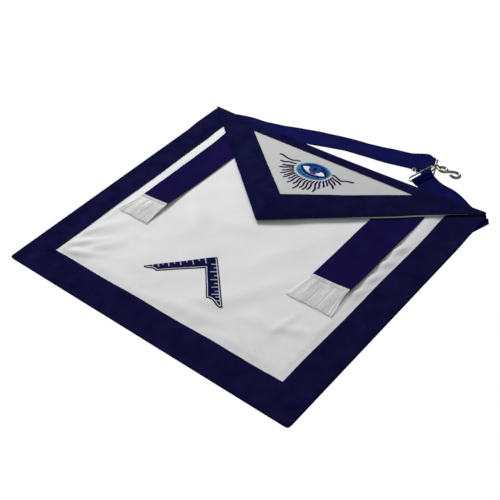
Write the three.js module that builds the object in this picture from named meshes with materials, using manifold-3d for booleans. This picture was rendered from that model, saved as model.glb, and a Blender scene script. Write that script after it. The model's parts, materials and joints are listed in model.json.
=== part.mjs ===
// A ceremonial lodge apron lying on its back: a white panel with a navy border on three sides, two
// hanging ribbons with white fringes, a triangular flap with an eye, an embroidered square, and two
// waist straps that end in wire loops, one of which carries a snake hook.
// Millimetres, +Z up out of the apron's face. The origin is the centre of the panel's underside,
// +X runs along the waist and +Y runs towards the waist.
import * as THREE from 'three';
import { mergeVertices } from 'three/addons/utils/BufferGeometryUtils.js';
import Module from 'manifold-3d';

const wasm = await Module();
wasm.setup();

// Driving dimensions of the apron
const APRON_WIDTH = 406;
const APRON_HEIGHT = 347;
const WAIST_FALL = 10.5;
const WAIST_SAG = 5;
const BORDER_WIDTH = 37;
const SEWN_OFFSET = -1.5;
const PANEL_THICK = 1.4;
const TRIM_THICK = 1.0;
const LAYER_GAP = 0.3;

// Driving dimensions of the flap
const FLAP_LENGTH = 142.3;
const FLAP_THICK = 1.0;
const FLAP_BAND_WIDTH = 34.5;
const WAIST_BAND_WIDTH = 17;
const FLAP_BULGE = 8;
const FLAP_TIP_RISE = 2.1;
const FLAP_EDGE_SHOW = 0.6;
const FLAP_TRIM_GAP = 0.4;
const FLAP_NOSE_WIDTH = 3;

// Driving dimensions of the hanging ribbons and fringes
const RIBBON_WIDTH = 46;
const RIBBON_FROM_BORDER = 15;
const RIBBON_LENGTH = 173;
const RIBBON_TOP_INSET = 4;
const CORNER_LIFT = 6.5;
const FRINGE_LENGTH = 38;
const FRINGE_HEAD = 5;
const FRINGE_THICK = 1.1;
const FRINGE_FLARE = 5;
const LOCKS = 12;
const LOCK_SPLIT = 0.12;
const LOCK_SWAY = 0.5;
const LOCK_RAG = 1.2;

// Driving dimensions of the embroidered square and eye
const SQUARE_SPAN = 115.4;
const SQUARE_HEIGHT = 53.3;
const SQUARE_ARM_WIDTH = 13.4;
const SQUARE_FOOT_CURVE = 1.5;
const SQUARE_BELOW_WAIST = 208.3;
const EYE_LENGTH = 44.6;
const EYE_HEIGHT = 29.6;
const EYE_BELOW_WAIST = 39.8;
const EMBLEM_OFFSET = -0.5;
const STITCH_THICK = 0.8;

// Driving dimensions of the straps, loops and hook
const STRAP_WIDTH = 29;
const STRAP_THICK = 1.0;
const STRAP_HEM = 7.5;
const STRAP_TURN = 72;
const LOOP_WIRE = 2.0;
const LOOP_REACH = 7;
const LOOP_CLEARANCE = 0.5;
const SLEEVE_GAP = 0.3;
const EYELET_DIAMETER = 5.4;
const EYELET_WIRE = 1.6;
const EYELET_STANDOFF = 6.6;
const EYELET_TILT = 12;
const EYELET_ALONG = -3;
const RING_LENGTH = 9.6;
const RING_HEIGHT = 6.8;
const RING_WIRE = 2.0;
const RING_SLACK = 1.75;
const HOOK_LENGTH = 33.3;
const HOOK_WIRE = 3.3;

// Where the clasp lies, measured from the right end of the waist and beyond the middle of its edge
const CLASP_FROM_END = 91.7;
const CLASP_BEYOND = 43.6;
const LOOP_OFFSET_ALONG = -8.7;
const LOOP_OFFSET_BEYOND = -19;

const { degToRad, smoothstep, lerp } = THREE.MathUtils;
const HALF_WIDTH = APRON_WIDTH / 2;
const RIBBON_SPACING = APRON_WIDTH - 2 * (BORDER_WIDTH + RIBBON_FROM_BORDER) - RIBBON_WIDTH;
const CLASP_ALONG = HALF_WIDTH - CLASP_FROM_END;
const LOOP_LENGTH = STRAP_WIDTH + 2 * LOOP_CLEARANCE + 2 * LOOP_WIRE;
const SLEEVE_RADIUS = LOOP_WIRE / 2 + SLEEVE_GAP + STRAP_THICK / 2;

// Colours and finishes
const white = () => new THREE.MeshStandardMaterial({ color: 0xc9c9c8, roughness: 0.7 });
const navy = () => new THREE.MeshStandardMaterial({ color: 0x120f35, roughness: 0.75 });
const strapNavy = () => new THREE.MeshStandardMaterial({ color: 0x0e1041, roughness: 0.7 });
const teal = () => new THREE.MeshStandardMaterial({ color: 0x2b78a8, roughness: 0.6 });
const steel = () => new THREE.MeshStandardMaterial({ color: 0x9a9a96, roughness: 0.3, metalness: 1 });

// Evenly spaced numbers from first to last
function spread(first, last, steps) {
  return Array.from({ length: steps + 1 }, (_, i) => lerp(first, last, i / steps));
}

// A smooth curve through a short table of rows, read at one place
function readTable(rows, key, place, name) {
  const last = rows.length - 1;
  if (place <= rows[0][key]) return rows[0][name];
  if (place >= rows[last][key]) return rows[last][name];
  const i = rows.findIndex((row) => row[key] > place) - 1;
  const slope = (k) => {
    const a = rows[Math.max(k - 1, 0)];
    const b = rows[Math.min(k + 1, last)];
    return (b[name] - a[name]) / (b[key] - a[key]);
  };
  const span = rows[i + 1][key] - rows[i][key];
  const t = (place - rows[i][key]) / span;
  const rise = rows[i + 1][name] - rows[i][name];
  const bendA = slope(i) * span - rise;
  const bendB = rise - slope(i + 1) * span;
  return lerp(rows[i][name], rows[i + 1][name], t) + t * (1 - t) * (bendA * (1 - t) + bendB * t);
}

// Closed surfaces and booleans
function closedGeometry(positions, index) {
  const geometry = new THREE.BufferGeometry();
  geometry.setAttribute('position', new THREE.Float32BufferAttribute(positions.flat(), 3));
  geometry.setIndex(index);
  return faceOutwards(geometry);
}

function faceOutwards(geometry) {
  const merged = mergeVertices(bare(geometry), 1e-4);
  const position = merged.getAttribute('position');
  const index = Array.from(merged.index.array);
  const [a, b, c] = [new THREE.Vector3(), new THREE.Vector3(), new THREE.Vector3()];
  let volume = 0;
  for (let i = 0; i < index.length; i += 3) {
    a.fromBufferAttribute(position, index[i]);
    b.fromBufferAttribute(position, index[i + 1]);
    c.fromBufferAttribute(position, index[i + 2]);
    volume += a.dot(b.cross(c));
  }
  if (volume < 0) index.reverse();
  merged.setIndex(index);
  return merged;
}

function bare(geometry) {
  const copy = geometry.clone();
  copy.deleteAttribute('normal');
  copy.deleteAttribute('uv');
  return copy;
}

function toManifold(geometry) {
  const closed = faceOutwards(geometry);
  const vertProperties = new Float32Array(closed.getAttribute('position').array);
  const triVerts = new Uint32Array(closed.index.array);
  return new wasm.Manifold(new wasm.Mesh({ numProp: 3, vertProperties, triVerts }));
}

function fromManifold(manifold) {
  const { vertProperties, triVerts } = manifold.getMesh();
  const geometry = new THREE.BufferGeometry();
  geometry.setAttribute('position', new THREE.BufferAttribute(vertProperties, 3));
  geometry.setIndex(new THREE.BufferAttribute(triVerts, 1));
  return geometry;
}

function join(...geometries) {
  return fromManifold(geometries.map(toManifold).reduce((whole, piece) => whole.add(piece)));
}

// A sheet with a grid on its underside and its top, closed round its rim.
// point(row, column, side) gives a place for side 0, the underside, or 1, the top.
function sheet(rows, columns, point) {
  const positions = [];
  const index = [];
  const across = columns.length;
  const node = (r, c, side) => side * rows.length * across + r * across + c;
  for (const side of [0, 1]) {
    for (const row of rows) {
      for (const column of columns) positions.push(point(row, column, side));
    }
  }
  const quad = (a, b, c, d) => index.push(a, b, c, a, c, d);
  for (let r = 0; r + 1 < rows.length; r++) {
    for (let c = 0; c + 1 < across; c++) {
      quad(node(r, c, 0), node(r + 1, c, 0), node(r + 1, c + 1, 0), node(r, c + 1, 0));
      quad(node(r, c, 1), node(r, c + 1, 1), node(r + 1, c + 1, 1), node(r + 1, c, 1));
    }
    quad(node(r, 0, 0), node(r, 0, 1), node(r + 1, 0, 1), node(r + 1, 0, 0));
    const far = across - 1;
    quad(node(r, far, 0), node(r + 1, far, 0), node(r + 1, far, 1), node(r, far, 1));
  }
  const end = rows.length - 1;
  for (let c = 0; c + 1 < across; c++) {
    quad(node(0, c, 0), node(0, c + 1, 0), node(0, c + 1, 1), node(0, c, 1));
    quad(node(end, c, 0), node(end, c, 1), node(end, c + 1, 1), node(end, c + 1, 0));
  }
  return closedGeometry(positions, index);
}

// How far a wire's domed end stands out, and how wide it is there, as a share of the wire's radius
const DOME = 0.6;

// Round wire bent in its own XY plane: closed into a ring, or open with domed ends
function wire(path, radius, closed, sides = 8) {
  const count = path.length;
  const positions = [];
  const index = [];
  const stations = path.map((p, i) => {
    const before = path[closed ? (i + count - 1) % count : Math.max(i - 1, 0)];
    const after = path[closed ? (i + 1) % count : Math.min(i + 1, count - 1)];
    const tangent = after.clone().sub(before).normalize();
    return { p, out: new THREE.Vector2(tangent.y, -tangent.x), tangent, radius };
  });
  if (!closed) {
    const dome = (s, sign) => {
      const p = s.p.clone().addScaledVector(s.tangent, sign * DOME * radius);
      return { ...s, p, radius: DOME * radius };
    };
    stations.unshift(dome(stations[0], -1));
    stations.push(dome(stations[stations.length - 1], 1));
  }
  for (const s of stations) {
    for (let k = 0; k < sides; k++) {
      const turn = ((k + 0.5) / sides) * 2 * Math.PI;
      const side = Math.cos(turn) * s.radius;
      positions.push([s.p.x + s.out.x * side, s.p.y + s.out.y * side, Math.sin(turn) * s.radius]);
    }
  }
  const rings = stations.length;
  for (let i = 0; i < (closed ? rings : rings - 1); i++) {
    for (let k = 0; k < sides; k++) {
      const a = i * sides + k;
      const b = i * sides + ((k + 1) % sides);
      const c = ((i + 1) % rings) * sides + ((k + 1) % sides);
      const d = ((i + 1) % rings) * sides + k;
      index.push(a, b, c, a, c, d);
    }
  }
  if (!closed) {
    for (let k = 1; k + 1 < sides; k++) {
      index.push(0, k + 1, k);
      index.push((rings - 1) * sides, (rings - 1) * sides + k, (rings - 1) * sides + k + 1);
    }
  }
  return closedGeometry(positions, index);
}

function oval(centreX, centreY, radiusX, radiusY, steps) {
  return spread(0, 2 * Math.PI, steps).slice(0, -1)
    .map((turn) => new THREE.Vector2(centreX + radiusX * Math.cos(turn), centreY + radiusY * Math.sin(turn)));
}

// Heights of the layers. The straps pass under the waist, which lifts every layer there.
const waistSag = (x) => -WAIST_SAG * Math.max(1 - (x / HALF_WIDTH) ** 2, 0);
const waistLine = (x) => APRON_HEIGHT / 2 - WAIST_FALL * (x / APRON_WIDTH + 0.5);
const waistY = (x) => waistLine(x) + waistSag(x);
const LIFT = STRAP_THICK + LAYER_GAP;
const LIFT_FULL = 1.3 * STRAP_WIDTH;
const LIFT_START = 2.0 * STRAP_WIDTH;
const panelUnder = (x, y) => LIFT * smoothstep(y, waistY(x) - LIFT_START, waistY(x) - LIFT_FULL);
const trimUnder = (x, y) => panelUnder(x, y) + PANEL_THICK + LAYER_GAP;

// How high the flap stands off the trim, by share of the way from the waist to its tip
const FLAP_RISE = [
  { share: 0, ridge: 0, edge: 0 },
  { share: 0.3, ridge: 0.4, edge: 0.45 },
  { share: 0.5, ridge: 0.78, edge: 0.75 },
  { share: 0.72, ridge: 1, edge: 0.95 },
  { share: 0.88, ridge: 0.55, edge: 1 },
  { share: 1, ridge: 0, edge: 1 },
];
const flapTip = new THREE.Vector2(SEWN_OFFSET, waistY(SEWN_OFFSET) - FLAP_LENGTH);

function flapRise(x, y) {
  const share = THREE.MathUtils.clamp((waistY(x) - y) / FLAP_LENGTH, 0, 1);
  const half = Math.max(HALF_WIDTH * (1 - share), FLAP_NOSE_WIDTH);
  const across = Math.min(Math.abs(x - SEWN_OFFSET * share) / half, 1);
  const ridge = readTable(FLAP_RISE, 'share', share, 'ridge') * (1 - across ** 2);
  return FLAP_BULGE * ridge + FLAP_TIP_RISE * readTable(FLAP_RISE, 'share', share, 'edge');
}
const flapUnder = (x, y) => trimUnder(x, y) + TRIM_THICK + LAYER_GAP + flapRise(x, y);
const flapTop = (x, y) => flapUnder(x, y) + FLAP_THICK;
const flapTrimUnder = (x, y) => flapTop(x, y) + FLAP_TRIM_GAP;

// The white panel, set in from the border's outer walls
function panel() {
  const inset = TRIM_THICK + LAYER_GAP;
  const foot = -APRON_HEIGHT / 2 + inset;
  const liftRows = spread(LIFT_START, LIFT_FULL, 5).concat([inset]);
  const rows = [null, ...liftRows];
  return sheet(rows, spread(-HALF_WIDTH + inset, HALF_WIDTH - inset, 6), (fromWaist, x, side) => {
    const y = fromWaist === null ? foot : waistY(x) - fromWaist;
    return [x, y, panelUnder(x, y) + side * PANEL_THICK];
  });
}

// A straight band of ribbon between an outer and an inner edge, with an optional wall over the edge
function band(outer, inner, { rows, columns, under, thick, wallFoot, sag }) {
  const trim = LAYER_GAP / outer[0].distanceTo(outer[1]);
  const along = rows.map((r) => lerp(trim, 1 - trim, r));
  const place = (r, c) => {
    const p = outer[0].clone().lerp(outer[1], r).lerp(inner[0].clone().lerp(inner[1], r), c);
    if (sag) p.y += sag(p, r, c);
    return p;
  };
  const flat = sheet(along, columns, (r, c, side) => {
    const p = place(r, c);
    return [p.x, p.y, under(p.x, p.y) + side * thick];
  });
  if (!wallFoot) return flat;
  const width = outer[0].clone().lerp(outer[1], 0.5).distanceTo(inner[0].clone().lerp(inner[1], 0.5));
  const wall = sheet(along, [0, thick / width], (r, c, side) => {
    const p = place(r, c);
    return [p.x, p.y, side ? under(p.x, p.y) + thick / 2 : wallFoot(p.x, p.y)];
  });
  return join(flat, wall);
}

const at = (x, y) => new THREE.Vector2(x, y);
const footY = -APRON_HEIGHT / 2;
const innerX = HALF_WIDTH - BORDER_WIDTH;
const innerFootY = footY + BORDER_WIDTH;
const CORNERS = {
  topLeft: at(-HALF_WIDTH, waistLine(-HALF_WIDTH)),
  topRight: at(HALF_WIDTH, waistLine(HALF_WIDTH)),
  footLeft: at(-HALF_WIDTH, footY),
  footRight: at(HALF_WIDTH, footY),
  innerTopLeft: at(-innerX, waistLine(-innerX)),
  innerTopRight: at(innerX, waistLine(innerX)),
  innerFootLeft: at(-innerX, innerFootY),
  innerFootRight: at(innerX, innerFootY),
};

function border(outerA, outerB, innerA, innerB) {
  const liftShare = [LIFT_FULL, LIFT_START].map((d) => d / APRON_HEIGHT);
  const rows = [0, ...spread(liftShare[0], liftShare[1], 5), 1];
  return band([outerA, outerB], [innerA, innerB], {
    rows, columns: spread(0, 1, 3), under: trimUnder, thick: TRIM_THICK, wallFoot: panelUnder,
    sag: (p, r) => waistSag(p.x) * (1 - r),
  });
}

// A corner of an inner outline: where two edges meet once each has moved inwards by its own distance
function insetCorner(before, corner, after, insetBefore, insetAfter) {
  const u = corner.clone().sub(before).normalize();
  const v = after.clone().sub(corner).normalize();
  const turn = u.x * v.y - u.y * v.x;
  return corner.clone()
    .addScaledVector(v, insetBefore / turn)
    .addScaledVector(u, -insetAfter / turn);
}

// The flap's outline runs tip, top right, top left, so its inside is on the left hand
const { topLeft, topRight } = CORNERS;
const flapInner = {
  tip: insetCorner(topLeft, flapTip, topRight, FLAP_BAND_WIDTH, FLAP_BAND_WIDTH),
  topRight: insetCorner(flapTip, topRight, topLeft, FLAP_BAND_WIDTH, WAIST_BAND_WIDTH),
  topLeft: insetCorner(topRight, topLeft, flapTip, WAIST_BAND_WIDTH, FLAP_BAND_WIDTH),
};

function flapBody() {
  const nose = FLAP_NOSE_WIDTH / APRON_WIDTH;
  const rows = spread(0, 1 - nose, 18);
  return sheet(rows, spread(0, 1, 24), (r, c, side) => {
    const left = topLeft.clone().lerp(flapTip, r);
    const right = topRight.clone().lerp(flapTip, r);
    right.x += FLAP_EDGE_SHOW * Math.sin(Math.PI * Math.min(2 * r, 1));
    const p = left.lerp(right, c);
    p.y += waistSag(p.x) * (1 - r) ** 3;
    return [p.x, p.y, flapUnder(p.x, p.y) + side * FLAP_THICK];
  });
}

function flapSideBand(outer, inner) {
  return band(outer, inner, {
    rows: spread(0, 1, 30), columns: spread(0, 1, 6), under: flapTrimUnder, thick: TRIM_THICK,
  });
}

// The waist band wraps over the waist edge and closes it at the back
function flapWaistBand() {
  const outer = [topLeft, topRight];
  const inner = [flapInner.topLeft, flapInner.topRight];
  const flat = band(outer, inner, {
    rows: spread(0, 1, 24), columns: spread(0, 1, 2), under: flapTrimUnder, thick: TRIM_THICK,
    sag: (p, r, c) => waistSag(lerp(-HALF_WIDTH, HALF_WIDTH, r)) * (1 - c),
  });
  const edge = (r) => {
    const p = topLeft.clone().lerp(topRight, r);
    return at(p.x, waistY(p.x));
  };
  const mitreLength = topLeft.distanceTo(flapInner.topLeft);
  const clear = (((TRIM_THICK + 2 * LAYER_GAP) / WAIST_BAND_WIDTH) * mitreLength) / APRON_WIDTH;
  const shares = spread(clear, 1 - clear, 24);
  const wall = sheet(shares, [LAYER_GAP, LAYER_GAP + TRIM_THICK], (r, out, side) => {
    const p = edge(r);
    const top = flapTrimUnder(p.x, p.y) + TRIM_THICK;
    return [p.x, p.y + out, side ? top : panelUnder(p.x, p.y)];
  });
  const lap = sheet(shares, [-TRIM_THICK, LAYER_GAP + TRIM_THICK / 2], (r, out, side) => {
    const p = edge(r);
    return [p.x, p.y + out, flapTrimUnder(p.x, p.y) + side * TRIM_THICK];
  });
  return join(flat, wall, lap);
}

// A hanging ribbon with one lower corner that curls up towards the apron's middle or its outside
const RIBBONS = [
  { name: 'left', side: -1, innerCurl: 1, outerCurl: 0.05 },
  { name: 'right', side: 1, innerCurl: 0.05, outerCurl: 0.3 },
];
const ribbonFootY = waistY(0) - RIBBON_LENGTH;

function ribbonCurl(spec, x, y) {
  const centre = SEWN_OFFSET + (spec.side * RIBBON_SPACING) / 2;
  const inward = THREE.MathUtils.clamp(0.5 - (spec.side * (x - centre)) / RIBBON_WIDTH, 0, 1);
  const down = smoothstep(y, ribbonFootY, ribbonFootY + RIBBON_WIDTH);
  const free = smoothstep(y, ribbonFootY - FRINGE_LENGTH, ribbonFootY - FRINGE_HEAD);
  const curl = lerp(spec.outerCurl, spec.innerCurl, inward ** 1.5);
  return CORNER_LIFT * curl * (1 - down) * free;
}

function ribbonPlace(spec, share) {
  return SEWN_OFFSET + (spec.side * RIBBON_SPACING) / 2 + (share - 0.5) * RIBBON_WIDTH;
}

function hangingRibbon(spec) {
  const top = [RIBBON_TOP_INSET, ...spread(LIFT_FULL, LIFT_START, 4)];
  const fall = spread(RIBBON_LENGTH - RIBBON_WIDTH, RIBBON_LENGTH, 4);
  return sheet([...top, ...fall], spread(0, 1, 4), (fromWaist, share, side) => {
    const x = ribbonPlace(spec, share);
    const foot = fromWaist === RIBBON_LENGTH;
    const y = foot ? ribbonFootY : waistY(x) - fromWaist;
    return [x, y, trimUnder(x, y) + ribbonCurl(spec, x, y) + side * TRIM_THICK];
  });
}

// A fringe: a head across the ribbon's foot with locks fused to it that fan out and droop
function fringe(spec) {
  const headTop = ribbonFootY - LAYER_GAP;
  const head = sheet(spread(headTop, headTop - FRINGE_HEAD, 1), spread(0, 1, 6), (y, share, side) => {
    const x = ribbonPlace(spec, share);
    return [x, y, trimUnder(x, y) + ribbonCurl(spec, x, y) + side * FRINGE_THICK];
  });
  const locks = Array.from({ length: LOCKS }, (_, k) => {
    const sway = LOCK_SWAY * Math.sin(k * 2.4);
    const reach = FRINGE_LENGTH - LOCK_RAG * (1 + Math.cos(k * 1.7));
    return sheet(spread(FRINGE_HEAD / 2, reach, 5), [LOCK_SPLIT, 1 - LOCK_SPLIT], (down, c, side) => {
      const share = (k + c) / LOCKS;
      const fan = smoothstep(down, FRINGE_HEAD, FRINGE_LENGTH);
      const x = ribbonPlace(spec, share) + fan * (FRINGE_FLARE * (share - 0.5) + sway);
      const y = headTop - down;
      return [x, y, trimUnder(x, y) + ribbonCurl(spec, x, y) + side * FRINGE_THICK];
    });
  });
  return join(head, ...locks);
}

// The square: two arms that meet at the top, each with a foot cut to a double curve
function embroideredSquare() {
  const half = SQUARE_SPAN / 2;
  const armAngle = Math.atan2(half, SQUARE_HEIGHT);
  const crotch = -SQUARE_ARM_WIDTH / Math.sin(armAngle);
  const heel = half * (1 + crotch / SQUARE_HEIGHT);
  const foot = -SQUARE_HEIGHT;
  const dip = foot - SQUARE_FOOT_CURVE;
  const crest = foot + 2 * SQUARE_FOOT_CURVE;
  const outline = new THREE.Shape();
  outline.moveTo(0, 0);
  outline.lineTo(-half, foot);
  outline.bezierCurveTo(-half * 0.9, dip, -heel * 1.1, crest, -heel, foot);
  outline.lineTo(0, crotch);
  outline.lineTo(heel, foot);
  outline.bezierCurveTo(heel * 1.1, crest, half * 0.9, dip, half, foot);
  outline.closePath();
  const options = { depth: STITCH_THICK, bevelEnabled: false, curveSegments: 6 };
  return faceOutwards(new THREE.ExtrudeGeometry(outline, options));
}

// The eye: an oval pad of stitches that follows the flap's face
function embroideredEye() {
  const centreY = waistY(EMBLEM_OFFSET) - EYE_BELOW_WAIST;
  const steps = 24;
  const positions = [];
  const index = [];
  const rings = [0.35, 0.7, 1];
  for (const side of [0, 1]) {
    const z = (x, y) => flapTrimUnder(x, y) + side * STITCH_THICK;
    positions.push([EMBLEM_OFFSET, centreY, z(EMBLEM_OFFSET, centreY)]);
    for (const ring of rings) {
      for (const p of oval(EMBLEM_OFFSET, centreY, (ring * EYE_LENGTH) / 2, (ring * EYE_HEIGHT) / 2, steps)) {
        positions.push([p.x, p.y, z(p.x, p.y)]);
      }
    }
  }
  const perSide = 1 + rings.length * steps;
  const node = (side, ring, k) => side * perSide + 1 + ring * steps + (k % steps);
  for (let k = 0; k < steps; k++) {
    index.push(0, node(0, 0, k + 1), node(0, 0, k), perSide, node(1, 0, k), node(1, 0, k + 1));
    for (let ring = 0; ring + 1 < rings.length; ring++) {
      const under = [node(0, ring, k), node(0, ring, k + 1), node(0, ring + 1, k + 1), node(0, ring + 1, k)];
      const over = [node(1, ring, k), node(1, ring + 1, k), node(1, ring + 1, k + 1), node(1, ring, k + 1)];
      for (const [a, b, c, d] of [under, over]) index.push(a, b, c, a, c, d);
    }
    const rim = [node(0, rings.length - 1, k), node(0, rings.length - 1, k + 1)];
    const lip = [node(1, rings.length - 1, k), node(1, rings.length - 1, k + 1)];
    index.push(rim[0], rim[1], lip[1], rim[0], lip[1], lip[0]);
  }
  return closedGeometry(positions, index);
}

// Frames of the two wire loops. Local X runs along a loop's bars and local Y runs from its inner bar,
// which the strap wraps, to its outer bar.
const waistMiddle = waistY(0);
const hookBarZ = RING_HEIGHT / 2;
const LOOP_FRAMES = {
  hook: {
    along: CLASP_ALONG, beyond: CLASP_BEYOND, z: hookBarZ,
    heading: -67.6, roll: 0,
    innerZ: LOOP_WIRE / 2 + SLEEVE_GAP + STRAP_THICK,
  },
  eye: {
    along: CLASP_ALONG + LOOP_OFFSET_ALONG, beyond: CLASP_BEYOND + LOOP_OFFSET_BEYOND, z: 5.8,
    heading: 65, roll: 9,
  },
};

function loopMatrix({ along, beyond, z, heading, roll, innerZ }, side) {
  const bar = new THREE.Vector3(1, 0, 0)
    .applyAxisAngle(new THREE.Vector3(0, 1, 0), -degToRad(roll))
    .applyAxisAngle(new THREE.Vector3(0, 0, 1), degToRad(heading));
  const flatOut = new THREE.Vector3(-bar.y, bar.x, 0).normalize().multiplyScalar(side);
  const rise = innerZ === undefined ? 0 : Math.asin((z - innerZ) / LOOP_REACH);
  const out = flatOut.multiplyScalar(Math.cos(rise)).add(new THREE.Vector3(0, 0, Math.sin(rise)));
  const up = new THREE.Vector3().crossVectors(bar, out);
  return new THREE.Matrix4().makeBasis(bar, out, up).setPosition(along, waistMiddle + beyond, z);
}
const hookLoopMatrix = loopMatrix(LOOP_FRAMES.hook, 1);
const eyeLoopMatrix = loopMatrix(LOOP_FRAMES.eye, 1);

// A rectangle of wire with round corners: its outer bar lies on local Y = 0, its inner bar below it
function loopGeometry() {
  const half = (LOOP_LENGTH - LOOP_WIRE) / 2;
  const bend = 1.25 * LOOP_WIRE;
  const outline = new THREE.Shape();
  outline.moveTo(-half + bend, -LOOP_REACH);
  outline.lineTo(half - bend, -LOOP_REACH);
  outline.absarc(half - bend, -LOOP_REACH + bend, bend, -Math.PI / 2, 0);
  outline.lineTo(half, -bend);
  outline.absarc(half - bend, -bend, bend, 0, Math.PI / 2);
  outline.lineTo(-half + bend, 0);
  outline.absarc(-half + bend, -bend, bend, Math.PI / 2, Math.PI);
  outline.lineTo(-half, -LOOP_REACH + bend);
  outline.absarc(-half + bend, -LOOP_REACH + bend, bend, Math.PI, 1.5 * Math.PI);
  const points = outline.getPoints(5);
  const path = points.filter((p, i) => i === 0 || p.distanceTo(points[i - 1]) > 0.05);
  if (path[0].distanceTo(path[path.length - 1]) < 0.05) path.pop();
  return wire(path, LOOP_WIRE / 2, true);
}

function eyeLoop() {
  const ringRadius = (EYELET_DIAMETER - EYELET_WIRE) / 2;
  const circle = oval(EYELET_ALONG, EYELET_STANDOFF, ringRadius, ringRadius, 14);
  const ring = wire(circle, EYELET_WIRE / 2, true, 6);
  const stemEnd = EYELET_STANDOFF - ringRadius;
  const stem = wire([0, stemEnd / 2, stemEnd].map((y) => at(EYELET_ALONG, y)), EYELET_WIRE / 2, false, 6);
  const tilt = new THREE.Matrix4().makeRotationX(degToRad(EYELET_TILT));
  return join(loopGeometry(), ring.applyMatrix4(tilt), stem.applyMatrix4(tilt)).applyMatrix4(eyeLoopMatrix);
}

// The snake hook in its own frame: the hinge is at the origin and the hook reaches along +X
const HOOK_CURVE = [
  { along: 0.43, aside: -0.065 },
  { along: 0.55, aside: 0.05 },
  { along: 0.67, aside: 0.12 },
  { along: 0.81, aside: 0.14 },
  { along: 0.925, aside: 0.09 },
  { along: 0.955, aside: 0.0 },
  { along: 0.9, aside: -0.085 },
  { along: 0.79, aside: -0.115 },
  { along: 0.67, aside: -0.085 },
];
const COIL = { along: 0.295, length: 0.41, width: 0.315 };
const RING_NEAR_END = RING_WIRE + RING_SLACK;
const hookDrop = Math.asin((hookBarZ - HOOK_WIRE / 2) / (HOOK_LENGTH - HOOK_WIRE / 2));
const HOOK_HEADING = -5;
const HOOK_ALONG_BAR = -2.8;

function wireOval(centreX, length, width, gauge, steps) {
  return wire(oval(centreX, 0, (length - gauge) / 2, (width - gauge) / 2, steps), gauge / 2, true);
}

function snakeHook() {
  const upright = new THREE.Matrix4().makeRotationX(Math.PI / 2);
  const ringCentre = RING_LENGTH / 2 - RING_NEAR_END;
  const ring = wireOval(ringCentre, RING_LENGTH, RING_HEIGHT, RING_WIRE, 20).applyMatrix4(upright);
  const coilLength = COIL.length * HOOK_LENGTH;
  const coilCentre = COIL.along * HOOK_LENGTH;
  const coil = wireOval(coilCentre, coilLength, COIL.width * HOOK_LENGTH, HOOK_WIRE, 18);
  const places = HOOK_CURVE.map((row) => at(row.along * HOOK_LENGTH, row.aside * HOOK_LENGTH));
  const shank = wire(new THREE.SplineCurve(places).getSpacedPoints(26), HOOK_WIRE / 2, false);
  const neckStart = ringCentre + (RING_LENGTH - RING_WIRE) / 2;
  const neckEnd = coilCentre - (coilLength - HOOK_WIRE) / 2;
  const neck = wire([at(neckStart, 0), at(neckEnd, 0)], RING_WIRE / 2, false);
  return join(ring, coil, shank, neck);
}

const hookPlace = new THREE.Vector3(HOOK_ALONG_BAR, 0, 0).applyMatrix4(hookLoopMatrix);

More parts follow.
